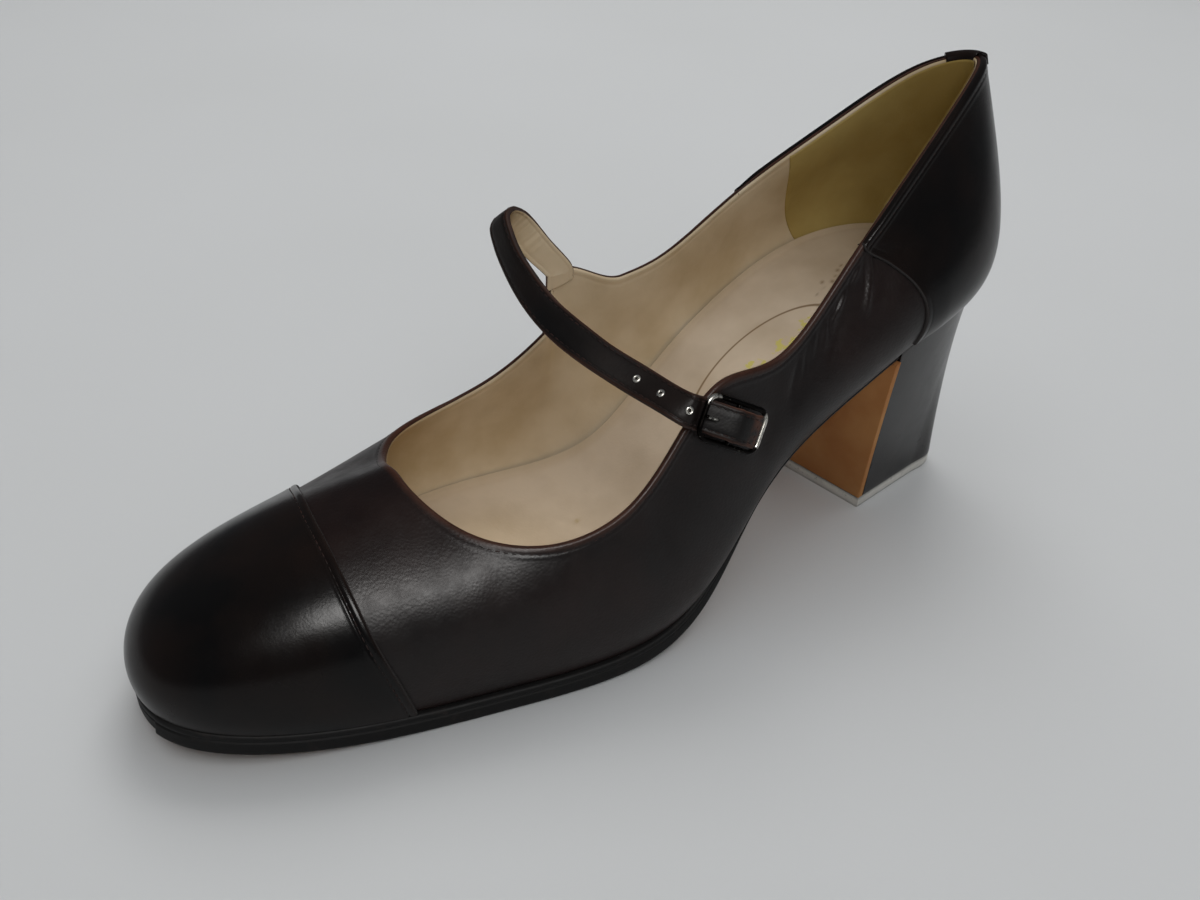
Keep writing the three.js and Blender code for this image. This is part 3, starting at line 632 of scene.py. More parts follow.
def sole_edge(colours):
    """Leather sole edge, inked and burnished: black, waxy, fine lines where the layers lie."""
    material, tree, shader, where = blank("inked_burnished_sole_edge", ior=1.5,
                                          specular_ior_level=0.22)
    # scuffs over about 5 mm show the grey brown leather under the ink
    scuff = add(tree, "TexNoise", {"Vector": where, "Scale": 1 / (5 * MM), "Detail": 8.0,
                                   "Roughness": 0.7})
    bare = add(tree, "MapRange", {"Value": scuff.outputs["Fac"], "From Min": 0.56,
                                  "From Max": 0.78})
    base = add(tree, "Mix", {"Factor": bare.outputs[0], 6: four(colours.sole_edge),
                             7: four(colours.worn_sole_edge)}, data_type="RGBA")
    tree.links.new(base.outputs[2], shader.inputs["Base Color"])
    rough = add(tree, "MapRange", {"Value": scuff.outputs["Fac"], "To Min": 0.45, "To Max": 0.8})
    tree.links.new(rough.outputs[0], shader.inputs["Roughness"])
    bump = add(tree, "Bump", {"Strength": 0.6, "Distance": 0.15 * MM,
                              "Height": scuff.outputs["Fac"]})
    tree.links.new(bump.outputs[0], shader.inputs["Normal"])
    return material


def sole_leather(colours):
    """Oak bark tanned sole leather: tan, open fibres, grey scratches along the tread from walking."""
    material, tree, shader, where = blank("bark_tanned_sole_leather", ior=1.5, roughness=0.6)
    stretched = add(tree, "Mapping", {"Vector": where, "Scale": (1.0, 0.16, 1.0)})
    scratch = add(tree, "TexNoise", {"Vector": stretched.outputs[0], "Scale": 1 / (1.8 * MM),
                                     "Detail": 6.0, "Roughness": 0.7})
    darkening = add(tree, "TexNoise", {"Vector": where, "Scale": 1 / (28 * MM), "Detail": 5.0})
    low = add(tree, "SeparateXYZ", {"Vector": where})
    tread = add(tree, "MapRange", {"Value": low.outputs["Z"], "From Min": 0.0, "From Max": 9 * MM,
                                   "To Min": 1.0, "To Max": 0.1})
    marks = add(tree, "MapRange", {"Value": scratch.outputs["Fac"], "From Min": 0.45,
                                   "From Max": 0.75})
    grime = add(tree, "MapRange", {"Value": darkening.outputs["Fac"], "From Min": 0.4, "From Max": 0.65})
    worn = add(tree, "Math", {0: tread.outputs[0], 1: grime.outputs[0]}, operation="MULTIPLY")
    both = add(tree, "Math", {0: marks.outputs[0], 1: worn.outputs[0]}, operation="MAXIMUM")
    base = add(tree, "Mix", {"Factor": both.outputs[0], 6: four(colours.sole),
                             7: four(colours.worn_sole)}, data_type="RGBA")
    tree.links.new(base.outputs[2], shader.inputs["Base Color"])
    bump = add(tree, "Bump", {"Strength": 0.6, "Distance": 0.2 * MM,
                              "Height": scratch.outputs["Fac"]})
    tree.links.new(bump.outputs[0], shader.inputs["Normal"])
    return material


def breast_leather(colours):
    """Waxed veg tanned leather on the heel breast: orange tan, a dull wax shine, darker smears."""
    return leather("waxed_veg_tan_leather", colours.breast, colours.worn_breast, grain=0.8, depth=0.03,
                   roughness=0.55, coat=0.0, blotch=0.8, shine=0.15)


def heel_rubber(colours):
    """Worn rubber top piece: pale grey, matt, with dark grit pressed into it."""
    material, tree, shader, where = blank("moulded_rubber_top_piece", ior=1.52, roughness=0.7)
    # grit of about 1 mm, drawn coarser than the real dust so that it shows
    grit = add(tree, "TexNoise", {"Vector": where, "Scale": 1 / (1.1 * MM), "Detail": 6.0,
                                  "Roughness": 0.75})
    speck = add(tree, "MapRange", {"Value": grit.outputs["Fac"], "From Min": 0.6, "From Max": 0.66})
    cloud = add(tree, "TexNoise", {"Vector": where, "Scale": 1 / (9 * MM), "Detail": 4.0})
    pale = add(tree, "Mix", {"Factor": cloud.outputs["Fac"], 6: four(colours.rubber),
                             7: four(colours.worn_rubber)}, data_type="RGBA")
    # darker, speckled by the grit, in a band just under the heel and along the floor
    low = add(tree, "SeparateXYZ", {"Vector": where})
    joint = add(tree, "MapRange", {"Value": low.outputs["Z"], "From Min": (TOP_PIECE - 0.9) * MM,
                                   "From Max": (TOP_PIECE - 0.1) * MM})
    ground = add(tree, "MapRange", {"Value": low.outputs["Z"], "From Min": 0.1 * MM,
                                    "From Max": 1.0 * MM, "To Min": 0.8, "To Max": 0.0})
    darkening = add(tree, "Math", {0: joint.outputs[0], 1: ground.outputs[0]}, operation="MAXIMUM")
    darkening = add(tree, "Math", {0: darkening.outputs[0], 1: grit.outputs["Fac"]}, operation="MULTIPLY")
    darkening = add(tree, "Math", {0: darkening.outputs[0], 1: speck.outputs[0]}, operation="MAXIMUM")
    base = add(tree, "Mix", {"Factor": darkening.outputs[0], 6: pale.outputs[2], 7: four(colours.grit)},
               data_type="RGBA")
    tree.links.new(base.outputs[2], shader.inputs["Base Color"])
    bump = add(tree, "Bump", {"Strength": 0.7, "Distance": 0.25 * MM,
                              "Height": grit.outputs["Fac"]})
    tree.links.new(bump.outputs[0], shader.inputs["Normal"])
    return material


def sock_leather(colours):
    """Thin pigmented sock leather: beige, soiled underfoot with painted shade toward the toe box, a
    stamped oval line, worn gold leaf.
    """
    material = leather("pigmented_sock_leather", colours.sock, colours.worn_sock, grain=0.8, depth=0.03,
                       roughness=0.62, coat=0.0, blotch=0.7, shine=0.15)
    tree = material.node_tree
    shader = tree.nodes["Principled BSDF"]
    where = add(tree, "TexCoord").outputs["Object"]
    under = shader.inputs["Base Color"].links[0].from_socket
    # the oval is about 44 mm long and 23 mm wide, its pressed line half a millimetre
    (s, t), (half_s, half_t) = OVAL_MIDDLE, OVAL_HALF
    oval = add(tree, "Mapping", {"Vector": where, "Scale": (1 / (half_t * MM), 1 / (half_s * MM), 0),
                                 "Location": (-t / half_t, -(ORIGIN_S - s) / half_s, 0)})
    far = add(tree, "VectorMath", {0: oval.outputs[0]}, operation="LENGTH")
    off = add(tree, "Math", {0: far.outputs["Value"], 1: 1.0}, operation="SUBTRACT")
    off = add(tree, "Math", {0: off.outputs[0]}, operation="ABSOLUTE")
    line = add(tree, "MapRange", {"Value": off.outputs[0], "From Min": 0.012, "From Max": 0.034,
                                  "To Min": 0.85, "To Max": 0.0})
    gilt = add(tree, "Attribute", attribute_name="gilding")
    # the soil mark holds soil under the heel and ball, painted shade toward the toe box, and darker
    # edges where the sock turns up
    soil_and_painted_shade = add(tree, "Attribute", attribute_name="soil_and_painted_shade")
    flake = add(tree, "TexNoise", {"Vector": where, "Scale": 1 / (1.5 * MM), "Detail": 6.0,
                                   "Roughness": 0.75})
    left = add(tree, "Math", {0: gilt.outputs["Fac"], 1: flake.outputs["Fac"]},
               operation="MULTIPLY")
    left = add(tree, "MapRange", {"Value": left.outputs[0], "From Min": 0.36, "From Max": 0.46,
                                  "To Max": 0.85})
    dark = add(tree, "Mix", {"Factor": soil_and_painted_shade.outputs["Fac"], 6: under, 7: four(colours.worn_lining_and_sock_shade)},
               data_type="RGBA")
    spots = add(tree, "Attribute", attribute_name="spots")
    line = add(tree, "Math", {0: line.outputs[0], 1: spots.outputs["Fac"]}, operation="MAXIMUM")
    stamped = add(tree, "Mix", {"Factor": line.outputs[0], 6: dark.outputs[2],
                                7: four(colours.stamp)}, data_type="RGBA")
    base = add(tree, "Mix", {"Factor": left.outputs[0], 6: stamped.outputs[2],
                             7: four(colours.gilding)}, data_type="RGBA")
    tree.links.new(base.outputs[2], shader.inputs["Base Color"])
    return material


def backdrop_paper(colours):
    """Matt seamless paper: pale cool grey with a faint tooth."""
    material, tree, shader, where = blank("matt_seamless_paper", ior=1.45, roughness=0.9)
    tooth = add(tree, "TexNoise", {"Vector": where, "Scale": 1 / (3 * MM), "Detail": 4.0})
    tree.links.new(add(tree, "Bump", {"Strength": 0.15, "Distance": 0.2 * MM,
                                      "Height": tooth.outputs["Fac"]}).outputs[0],
                   shader.inputs["Normal"])
    shade = add(tree, "TexNoise", {"Vector": where, "Scale": 1 / (180 * MM), "Detail": 2.0})
    base = add(tree, "Mix", {"Factor": shade.outputs["Fac"], 6: four(colours.paper),
                             7: four(colours.paper_shade)}, data_type="RGBA")
    tree.links.new(base.outputs[2], shader.inputs["Base Color"])
    return material


# ---------------------------------------------------------------- sizes and colours to change

def size_property(name, description, default, **limits):
    return FloatProperty(name=name, description=description, default=default * MM, min=0,
                         unit="LENGTH", subtype="DISTANCE", precision=5, **limits)


def colour_property(name, description, default):
    return FloatVectorProperty(name=name, description=description, default=linear(default),
                               subtype="COLOR", min=0, max=1)


class ShoeSizes(bpy.types.PropertyGroup):
    """Sizes of the shoe's details."""
    crease: size_property("Crease depth", "Depth of the deepest walking crease", 0.55)
    fold: size_property("Fold", "Extra thickness where the leather is folded under at an edge", 0.14)
    fold_width: size_property("Fold width", "How far the fold reaches under", 2.1)
    stitch_in: size_property("Stitch line", "Distance of the stitches from an edge", 1.25)
    stitch_pitch: size_property("Stitch pitch", "Distance between stitches", 1.9)
    stitch_length: size_property("Stitch length", "Length of one stitch on the surface", 1.45)
    thread: size_property("Thread", "Radius of the sewing thread", 0.17)
    groove: size_property("Sole groove", "Depth of the line round the sole edge", 0.35)
    sock_dip: size_property("Sock dip", "How far the sock sinks under the heel and ball", 0.8)


class ShoeColours(bpy.types.PropertyGroup):
    """Colours of the leathers, threads and fittings."""
    quarter: colour_property("Quarter", "Oxblood kid of the vamp and quarters", "#100908")
    worn_quarter: colour_property("Worn quarter", "Kid where it is rubbed", "#2c1a16")
    calf: colour_property("Calf", "Black calf of the cap, counter, heel and strap", "#0a0909")
    worn_calf: colour_property("Worn calf", "Calf where it is rubbed", "#2b1d17")
    lining: colour_property("Lining", "Lining leather", "#dbcaae")
    # this colour also paints the sock's soil and its painted shade toward the toe box
    worn_lining_and_sock_shade: colour_property("Worn lining", "Lining where the foot rubs", "#b59d74")
    grip: colour_property("Heel grip", "Suede inside the back", "#b8a263")
    worn_grip: colour_property("Worn grip", "Suede where it is flattened", "#a08748")
    sock: colour_property("Sock", "Sock over the insole", "#d9c9b4")
    worn_sock: colour_property("Worn sock", "Sock where it is soiled", "#b3a087")
    stamp: colour_property("Stamped line", "Line pressed into the sock", "#7a6040")
    gilding: colour_property("Gilding", "Worn gold leaf on the sock", "#d2c866")
    raw_edge: colour_property("Raw edge", "Cut edges of the strap and lining", "#4a2a1c")
    thread: colour_property("Thread", "Sewing thread", "#191210")
    sole_edge: colour_property("Sole edge", "Ink on the sole edge", "#090808")
    worn_sole_edge: colour_property("Worn sole edge", "Sole edge where the ink is gone", "#292320")
    sole: colour_property("Sole", "Underside of the sole", "#a9794a")
    worn_sole: colour_property("Worn sole", "Sole where it is walked on", "#6d543c")
    breast: colour_property("Heel breast", "Tan leather on the front of the heel", "#8e471a")
    worn_breast: colour_property("Worn breast", "Darker smears on the tan", "#6a3311")
    breast_edge: colour_property("Breast edge", "Pale cut edge of the tan leather", "#b98450")
    rubber: colour_property("Top piece", "Rubber under the heel", "#e2e0da")
    worn_rubber: colour_property("Worn top piece", "Rubber where it is dirty", "#b3b1aa")
    grit: colour_property("Grit", "Dirt in the rubber", "#3c3b38")
    nickel: colour_property("Nickel", "Bright nickel", "#cfccc4")
    tarnish: colour_property("Tarnish", "Nickel where it is dark", "#12100f")
    paper: colour_property("Paper", "Floor paper", "#d0d2d4")
    paper_shade: colour_property("Paper shade", "Uneven shade of the paper", "#cacccd")


def settings(context):
    return context.scene.shoe_sizes, context.scene.shoe_colours


made_materials = {}


def finish_of(maker, colours):
    """The material of that maker, made once."""
    if maker not in made_materials:
        made_materials[maker] = maker(colours)
    return made_materials[maker]


def bright_nickel(colours):
    """Nickel plated brass eyelets: rolled and bright, with little tarnish."""
    return nickel("bright_nickel_plate", colours.nickel, colours.tarnish, 0.2)


def dull_nickel(colours):
    """Nickel plated steel wire of the buckle: bright high spots, dark tarnish between them."""
    return nickel("tarnished_nickel_wire", colours.nickel, colours.tarnish, 0.24)


def breast_edge_leather(colours):
    """Cut edge of the tan leather: paler than the face, open fibres."""
    return leather("pale_cut_tan_edge", colours.breast_edge, colours.breast, grain=0.5, depth=0.1,
                   roughness=0.7, coat=0.0, blotch=0.6, shine=0.15)


def matt_edge_and_hole_shade(colours):
    """Matt dark fibres, no shine: the cut edges of the toe cap and counter, and a disc of painted shade
    across each eyelet's hole.
    """
    return leather("matt_cut_edge_and_painted_hole_shade", colours.thread, colours.calf, roughness=0.9, coat=0.0)


# ---------------------------------------------------------------- shapes of the pieces

# Walking creases and pulls: from rib and height to rib and height, half width and depth in mm.
# A negative depth is a ridge. Ribs 2 to 8 are the outer side, 16 to 22 the inner side.
CREASES = [
    (2.64, 0.96, 2.71, 0.78, 0.6, -1.3), (2.70, 0.80, 2.88, 0.60, 0.7, -0.9),
    (2.60, 0.94, 2.68, 0.74, 1.0, 0.6), (2.71, 0.93, 2.80, 0.70, 1.0, 0.6),
    (2.78, 0.91, 2.98, 0.86, 0.6, -0.45), (2.84, 0.92, 3.06, 0.84, 0.6, 0.5),
    (2.98, 0.88, 3.20, 0.82, 0.55, -0.5), (3.06, 0.90, 3.24, 0.84, 0.5, 0.45),
    (3.18, 0.89, 3.27, 0.77, 0.55, -0.45), (3.24, 0.89, 3.34, 0.75, 0.6, 0.45),
    (3.30, 0.88, 3.40, 0.73, 0.55, -0.45), (3.38, 0.90, 3.50, 0.74, 0.6, 0.4),
    (3.48, 0.89, 3.62, 0.76, 0.55, -0.35), (3.58, 0.88, 3.70, 0.72, 0.6, 0.4),
    (3.70, 0.88, 3.80, 0.70, 0.6, -0.35), (3.74, 0.86, 3.94, 0.66, 0.7, 0.4),
    (3.10, 0.78, 3.45, 0.58, 1.6, 0.35), (3.70, 0.80, 4.05, 0.52, 2.2, 0.4),
    (4.20, 0.72, 4.60, 0.45, 2.6, 0.4), (2.40, 0.72, 2.95, 0.52, 3.0, 0.35),
    (6.60, 0.92, 6.25, 0.50, 2.4, 0.35), (7.35, 0.90, 7.20, 0.42, 2.6, 0.3),
    (8.70, 0.92, 8.35, 0.50, 2.6, 0.3), (9.40, 0.60, 8.80, 0.38, 2.6, 0.3),
    (20.90, 0.96, 20.70, 0.78, 0.9, 0.4), (20.70, 0.95, 20.45, 0.76, 0.9, -0.3),
    (20.50, 0.95, 20.25, 0.72, 1.0, 0.4), (21.30, 0.96, 21.20, 0.82, 1.0, 0.35),
    (16.40, 0.92, 16.80, 0.48, 2.6, 0.35), (15.30, 0.90, 15.70, 0.45, 2.8, 0.35),
    (17.60, 0.80, 17.90, 0.40, 2.4, 0.3), (18.50, 0.88, 18.60, 0.55, 2.6, 0.3),
]
# Soft folds of the lining, the same way round
LINING_FOLDS = [
    (16.6, 0.95, 16.9, 0.30, 2.4, 0.5), (17.3, 0.95, 17.2, 0.35, 2.0, 0.4),
    (17.9, 0.85, 17.6, 0.30, 2.2, -0.35), (18.30, 0.93, 18.24, 0.78, 0.8, -0.5),
    (18.42, 0.93, 18.36, 0.80, 0.8, 0.5), (18.56, 0.92, 18.53, 0.80, 0.8, -0.5),
    (18.72, 0.92, 18.74, 0.78, 0.8, 0.5), (18.90, 0.90, 19.0, 0.76, 1.0, -0.4),
    (15.6, 0.80, 15.9, 0.25, 2.6, 0.5), (14.6, 0.70, 15.0, 0.20, 2.6, 0.4),
    (20.2, 0.90, 20.0, 0.40, 2.6, 0.3), (21.2, 0.85, 21.0, 0.35, 2.6, 0.3),
    (19.6, 0.75, 19.1, 0.30, 2.2, 0.35),
]


# Small dark stains on the sock: distance from the back, distance outward, size
SOCK_SPOTS = [(45.8, -7.4, 0.55), (43.6, -5.6, 0.7), (47.2, -5.2, 0.4), (41.8, -6.9, 0.45),
              (39.4, -8.5, 0.55), (44.9, -3.4, 0.5), (41.2, -3.9, 0.4), (37.2, -9.6, 0.4),
              (49.6, -4.4, 0.35)]


def creased(points, creases, depth):
    """Movement in mm of each point by the creases."""
    moved = np.zeros(points.shape[:-1])
    for r0, v0, r1, v1, width, deep in creases:
        start, end = last(r0, v0), last(r1, v1)
        reach = end - start
        along = np.clip(((points - start) @ reach) / (reach @ reach), 0, 1)
        away = np.linalg.norm(points - start - along[..., None] * reach, axis=-1)
        taper = 0.25 + 0.75 * np.sin(np.pi * np.clip(along, 0.02, 0.98))
        moved -= deep * taper * bell(away, width * 1.2)
    return moved * depth


def from_top(r, v):
    """Distance under the topline in mm, on the outer or inner face."""
    return np.where(v <= 1, 1 - v, np.maximum(v - 2, 0)) * wall_height(r)


def folded(distance, sizes):
    """Height of a folded and stitched edge at a distance from it."""
    width, stitch = sizes.fold_width / MM, sizes.stitch_in / MM
    return (sizes.fold / MM * (1 - ease((distance - width) / 1.6 + 0.5))
            - 0.13 * bell(distance - stitch, 0.42))


def cap_line(r, v):
    """Distance in front of the toe cap seam in mm."""
    p = last(r, np.minimum(v, 1))
    under = CAP_KNEE - p[..., 2]
    leant = CAP_LEAN * (under + np.sqrt(under ** 2 + 25)) / 2
    return p[..., 0] - (CAP_SEAM - CAP_BOW * (p[..., 1] - CAP_MIDDLE) ** 2 - leant)


def seam_curve(side):
    f = np.linspace(0, 1, 120)
    line = curve_through([(row[side], row[2], 0) for row in COUNTER_SEAM], f)
    return line[::-1]


SEAMS = [seam_curve(0), seam_curve(1)]


def counter_line(r, v):
    """Distance behind the seam of the heel counter in mm."""
    p = last(r, np.minimum(v, 1))
    outer = ((r + TIP) % RIBS) >= TIP
    away = []
    for line in SEAMS:
        s = np.interp(p[..., 2], line[:, 1], line[:, 0])
        steep = np.diff(line[:, 0]) / np.maximum(np.diff(line[:, 1]), 1e-3)
        slope = np.interp(p[..., 2], line[1:, 1], steep)
        away.append((s - p[..., 0]) / np.sqrt(1 + slope ** 2))
    return np.where(outer, away[0], away[1])


def counter_face(behind):
    """Outer face of the heel counter, thinned toward its seam."""
    return COUNTER_FACE - SKIVED * (1 - ease(behind / SKIVE_WIDTH))


def ladder(left, right, across):
    """Rows of points from each left point to its right point."""
    f = np.linspace(0, 1, across)[None, :, None]
    return left[:, None] * (1 - f) + right[:, None] * f


def breast_plane(ahead):
    """A point and the forward normal of the plane a distance in front of the heel."""
    normal = np.array([1, BREAST_SKEW, -BREAST_LEAN])
    return np.array([BREAST_START + ahead, 0, 0]), normal / np.linalg.norm(normal)


def trimmed(points, faces, ahead, keep_front, picks=None):
    """The part of a closed body in front of or behind the breast plane, closed across the cut."""
    made = bmesh.new()
    corners = [made.verts.new(p) for p in points]
    for k, face in enumerate(faces):
        if len(set(face)) > 2:
            made.faces.new([corners[i] for i in face]).material_index = picks[k] if picks else 0
    at, normal = breast_plane(ahead)
    cut = bmesh.ops.bisect_plane(made, geom=made.verts[:] + made.edges[:] + made.faces[:], dist=1e-5,
                                 plane_co=Vector(at), plane_no=Vector(normal),
                                 clear_inner=keep_front, clear_outer=not keep_front)
    rim = [e for e in cut["geom_cut"] if isinstance(e, bmesh.types.BMEdge)]
    bmesh.ops.holes_fill(made, edges=rim, sides=0)
    made.verts.ensure_lookup_table()
    for i, v in enumerate(made.verts):
        v.index = i
    new_points = np.array([v.co[:] for v in made.verts])
    new_faces = [tuple(v.index for v in f.verts) for f in made.faces]
    new_picks = [f.material_index for f in made.faces]
    made.free()
    return new_points, new_faces, new_picks


def breast_place(side, out, up, ahead):
    """Rib where the edge of the seat meets the front of the heel."""
    low, high = 1.0, 5.0
    while high - low > 1e-4:
        r = (low + high) / 2
        p = feather(np.array([(side * r) % RIBS]), out, up)[0]
        if p[0] < BREAST_START + BREAST_LEAN * p[2] - BREAST_SKEW * p[1] + ahead:
            low = r
        else:
            high = r
    return low


def heel_inward(p):
    """Level direction from places on the heel's outline to its middle."""
    return unit(np.stack([HEEL_MIDDLE - p[:, 0], -p[:, 1], 0 * p[:, 0]], 1))


def heel_loop(part, under, count=150):
    """Outline of the heel at a part of its height."""
    f = np.linspace(0, 1, count)
    floor = curve_through([(s, t, 0) for s, t in HEEL_FLOOR], f)
    floor[:, 2] = TOP_PIECE + GAP
    outer, inner = (breast_place(side, SEAT_INSET, -under, 6) for side in (1, -1))
    seat = feather(outer - (outer + inner) * f, SEAT_INSET, -under)
    p = floor * (1 - part) + seat * part
    return p + heel_inward(p) * HEEL_WAIST * 4 * part * (1 - part)


def stacked(loops):
    """A closed body from loops of points, closed straight across at both ends."""
    n = len(loops[0])
    faces = grid_faces(len(loops), n, True).tolist()
    top = (len(loops) - 1) * n
    for i in range(n // 2 - 1):
        a = n - 1 - i
        faces += [(i + 1, i, a, a - 1), (top + i, top + i + 1, top + a - 1, top + a)]
    return np.vstack(loops), faces


def buckle_axes():
    """Middle of the buckle on the outer quarter, then its length, width and upward directions."""
    normal, _ = last_frame(*BUCKLE_AT)
    origin = last(*BUCKLE_AT) + normal * (SKIN + BUCKLE_LIFT)
    along = np.array([-1, 0, -BUCKLE_DOWN])
    along = unit(along - normal * (along @ normal))
    return origin, along, unit(np.cross(normal, along)), normal


BUCKLE = buckle_axes()


def on_buckle(x, y, z):
    origin, along, across, normal = BUCKLE
    return origin + along * x + across * y + normal * z


def strap_rows():
    """Middle line of the strap and the way it faces, from the inner ear to its end."""
    rib, heights = STRAP_ROOT
    places, faces = [], []
    for v in heights:
        normal, _ = last_frame(rib, v)
        places.append(last(rib, v) + normal * (SKIN - WALL - 0.35 + STRAP / 2))
        faces.append(normal)
    for at, facing in STRAP_PATH:
        places.append(np.array(at, float))
        faces.append(unit(np.array(facing, float)))
    for x, z in STRAP_END:
        places.append(on_buckle(x, 0, z))
        faces.append(BUCKLE[3])
    return np.array(places), np.array(faces)


STRAP_PLACES, STRAP_FACES = strap_rows()


def strap_frame(f):
    """Place, direction, facing and sideways direction at parts of the strap's length."""
    f = np.asarray(f, float)
    at = curve_through(STRAP_PLACES, f)
    along = unit(curve_through(STRAP_PLACES, f + 2e-4) - curve_through(STRAP_PLACES, f - 2e-4))
    facing = curve_through(STRAP_FACES, f)
    facing = unit(facing - along * (facing * along).sum(-1, keepdims=True))
    return at, along, facing, unit(np.cross(facing, along))


def strap_at(back):
    """Part of the strap's length that lies a distance back from the outer bar of the buckle."""
    bar = (len(STRAP_PLACES) - len(STRAP_END) + 1) / (len(STRAP_PLACES) - 1)
    f = bar - np.arange(0, 0.6, 0.0005)
    p = curve_through(STRAP_PLACES, f)
    run = np.concatenate([[0], np.cumsum(np.linalg.norm(np.diff(p, axis=0), axis=1))])
    return float(np.interp(back, run, f))


def turned(frame_at, profile, sides=36):
    """Round piece from a profile of radius and height, square on a frame."""
    at, along, facing, across = frame_at
    angle = np.linspace(0, 2 * math.pi, sides, endpoint=False)[:, None]
    loops = [at + along * radius * np.cos(angle) - across * radius * np.sin(angle) + facing * height
             for radius, height in profile]
    return np.vstack(loops), sides


def wire(line, radii, facing, closed, sides=16):
    """Round wire along a line, its radius in step with the line."""
    line = np.asarray(line, float)
    if closed:
        along = unit(np.roll(line, -1, 0) - np.roll(line, 1, 0))
    else:
        along = unit(np.gradient(line, axis=0))
    up = unit(facing - along * (along @ facing)[:, None])
    side = np.cross(up, along)
    angle = np.linspace(0, 2 * math.pi, sides, endpoint=False)
    radii = np.broadcast_to(np.asarray(radii, float), (len(line),))
    circle = side[:, None] * np.cos(angle)[None, :, None] + up[:, None] * np.sin(angle)[None, :, None]
    points = line[:, None] + radii[:, None, None] * circle
    faces = grid_faces(len(line), sides, True).tolist()
    if closed:
        a = (len(line) - 1) * sides
        faces += [(a + i, a + (i + 1) % sides, (i + 1) % sides, i) for i in range(sides)]
    else:
        faces += [tuple(range(sides)), tuple(range((len(line) - 1) * sides, len(line) * sides))]
    return points.reshape(-1, 3), faces


# ---------------------------------------------------------------- operators

class ShoeOperator:
    """What every operator of the shoe shares."""
    bl_options = {"REGISTER", "UNDO"}


class SHOE_OT_upper(ShoeOperator, bpy.types.Operator):
    """Vamp and quarters in one skin, folded over at the topline, with its creases"""
    bl_idname = "shoe.upper"
    bl_label = "Upper"

    def execute(self, context):
        sizes, colours = settings(context)
        rs = np.arange(0, RIBS, 1 / 34)
        vs = np.concatenate([np.linspace(0, 0.84, 62, endpoint=False), np.linspace(0.84, 1, 26),
                             np.linspace(1.06, 1.6, 9)])
        R, V = np.meshgrid(rs, vs)
        rest = wall(R, V)
        below = from_top(R, V)
        face = (SKIN + np.where(V <= 1.6, folded(below, sizes), 0)
                + creased(rest, CREASES, sizes.crease / MM / 0.55))
        points = wall(R, V, face)
        tuck = [feather(rs, -0.9, 0.15), feather(rs, -2.2, 0.05)]
        points = np.vstack([tuck[1], tuck[0], points.reshape(-1, 3)])
        marks = np.concatenate([np.full(2 * len(rs), 50.0), below.ravel()])
        piece("quarter_and_vamp_leather", points, grid_faces(len(vs) + 2, len(rs), True),
              [finish_of(oxblood_kid, colours)], replaces=("upper",), slot="upper_leather",
              marks={"from_edge": marks})
        return {"FINISHED"}


class SHOE_OT_lining(ShoeOperator, bpy.types.Operator):
    """Lining inside the shoe and the suede grip at the heel"""
    bl_idname = "shoe.lining"
    bl_label = "Lining"

    def execute(self, context):
        sizes, colours = settings(context)
        rs = np.arange(0, RIBS, 1 / 20)
        vs = np.concatenate([np.linspace(1.6, 2, 7), np.linspace(2.01, 2.1, 10),
                             np.linspace(2.12, 2.98, 60)])
        R, V = np.meshgrid(rs, vs)
        rest = wall(R, V)
        step = 0.16 * ease((V - 1.6) / 0.05)
        below = from_top(R, V)
        sewn = -0.12 * bell(below - sizes.stitch_in / MM, 0.4)
        give = creased(rest, LINING_FOLDS, 0.8)
        points = wall(R, V, SKIN + step, WALL + sewn + give)
        piece("lining_leather_inside", points, grid_faces(len(vs), len(rs), True),
              [finish_of(lining_leather, colours)])

        def grip_field(r, v):
            p = last(r, np.minimum(v, 1))
            height = p[..., 2] - GRIP_FOOT
            return GRIP_FRONT + GRIP_SLOPE * height - GRIP_CURVE * height ** 2 - p[..., 0]

        def grip_surface(r, v, proud):
            return wall(r, 3 - v, SKIN, WALL + 0.35 + proud)

        points, faces, _ = overlay(*GRIP_PATCH, grip_field, grip_surface, GRIP_EDGE)
        piece("heel_grip_suede", points, faces, [finish_of(grip_suede, colours)])
        return {"FINISHED"}


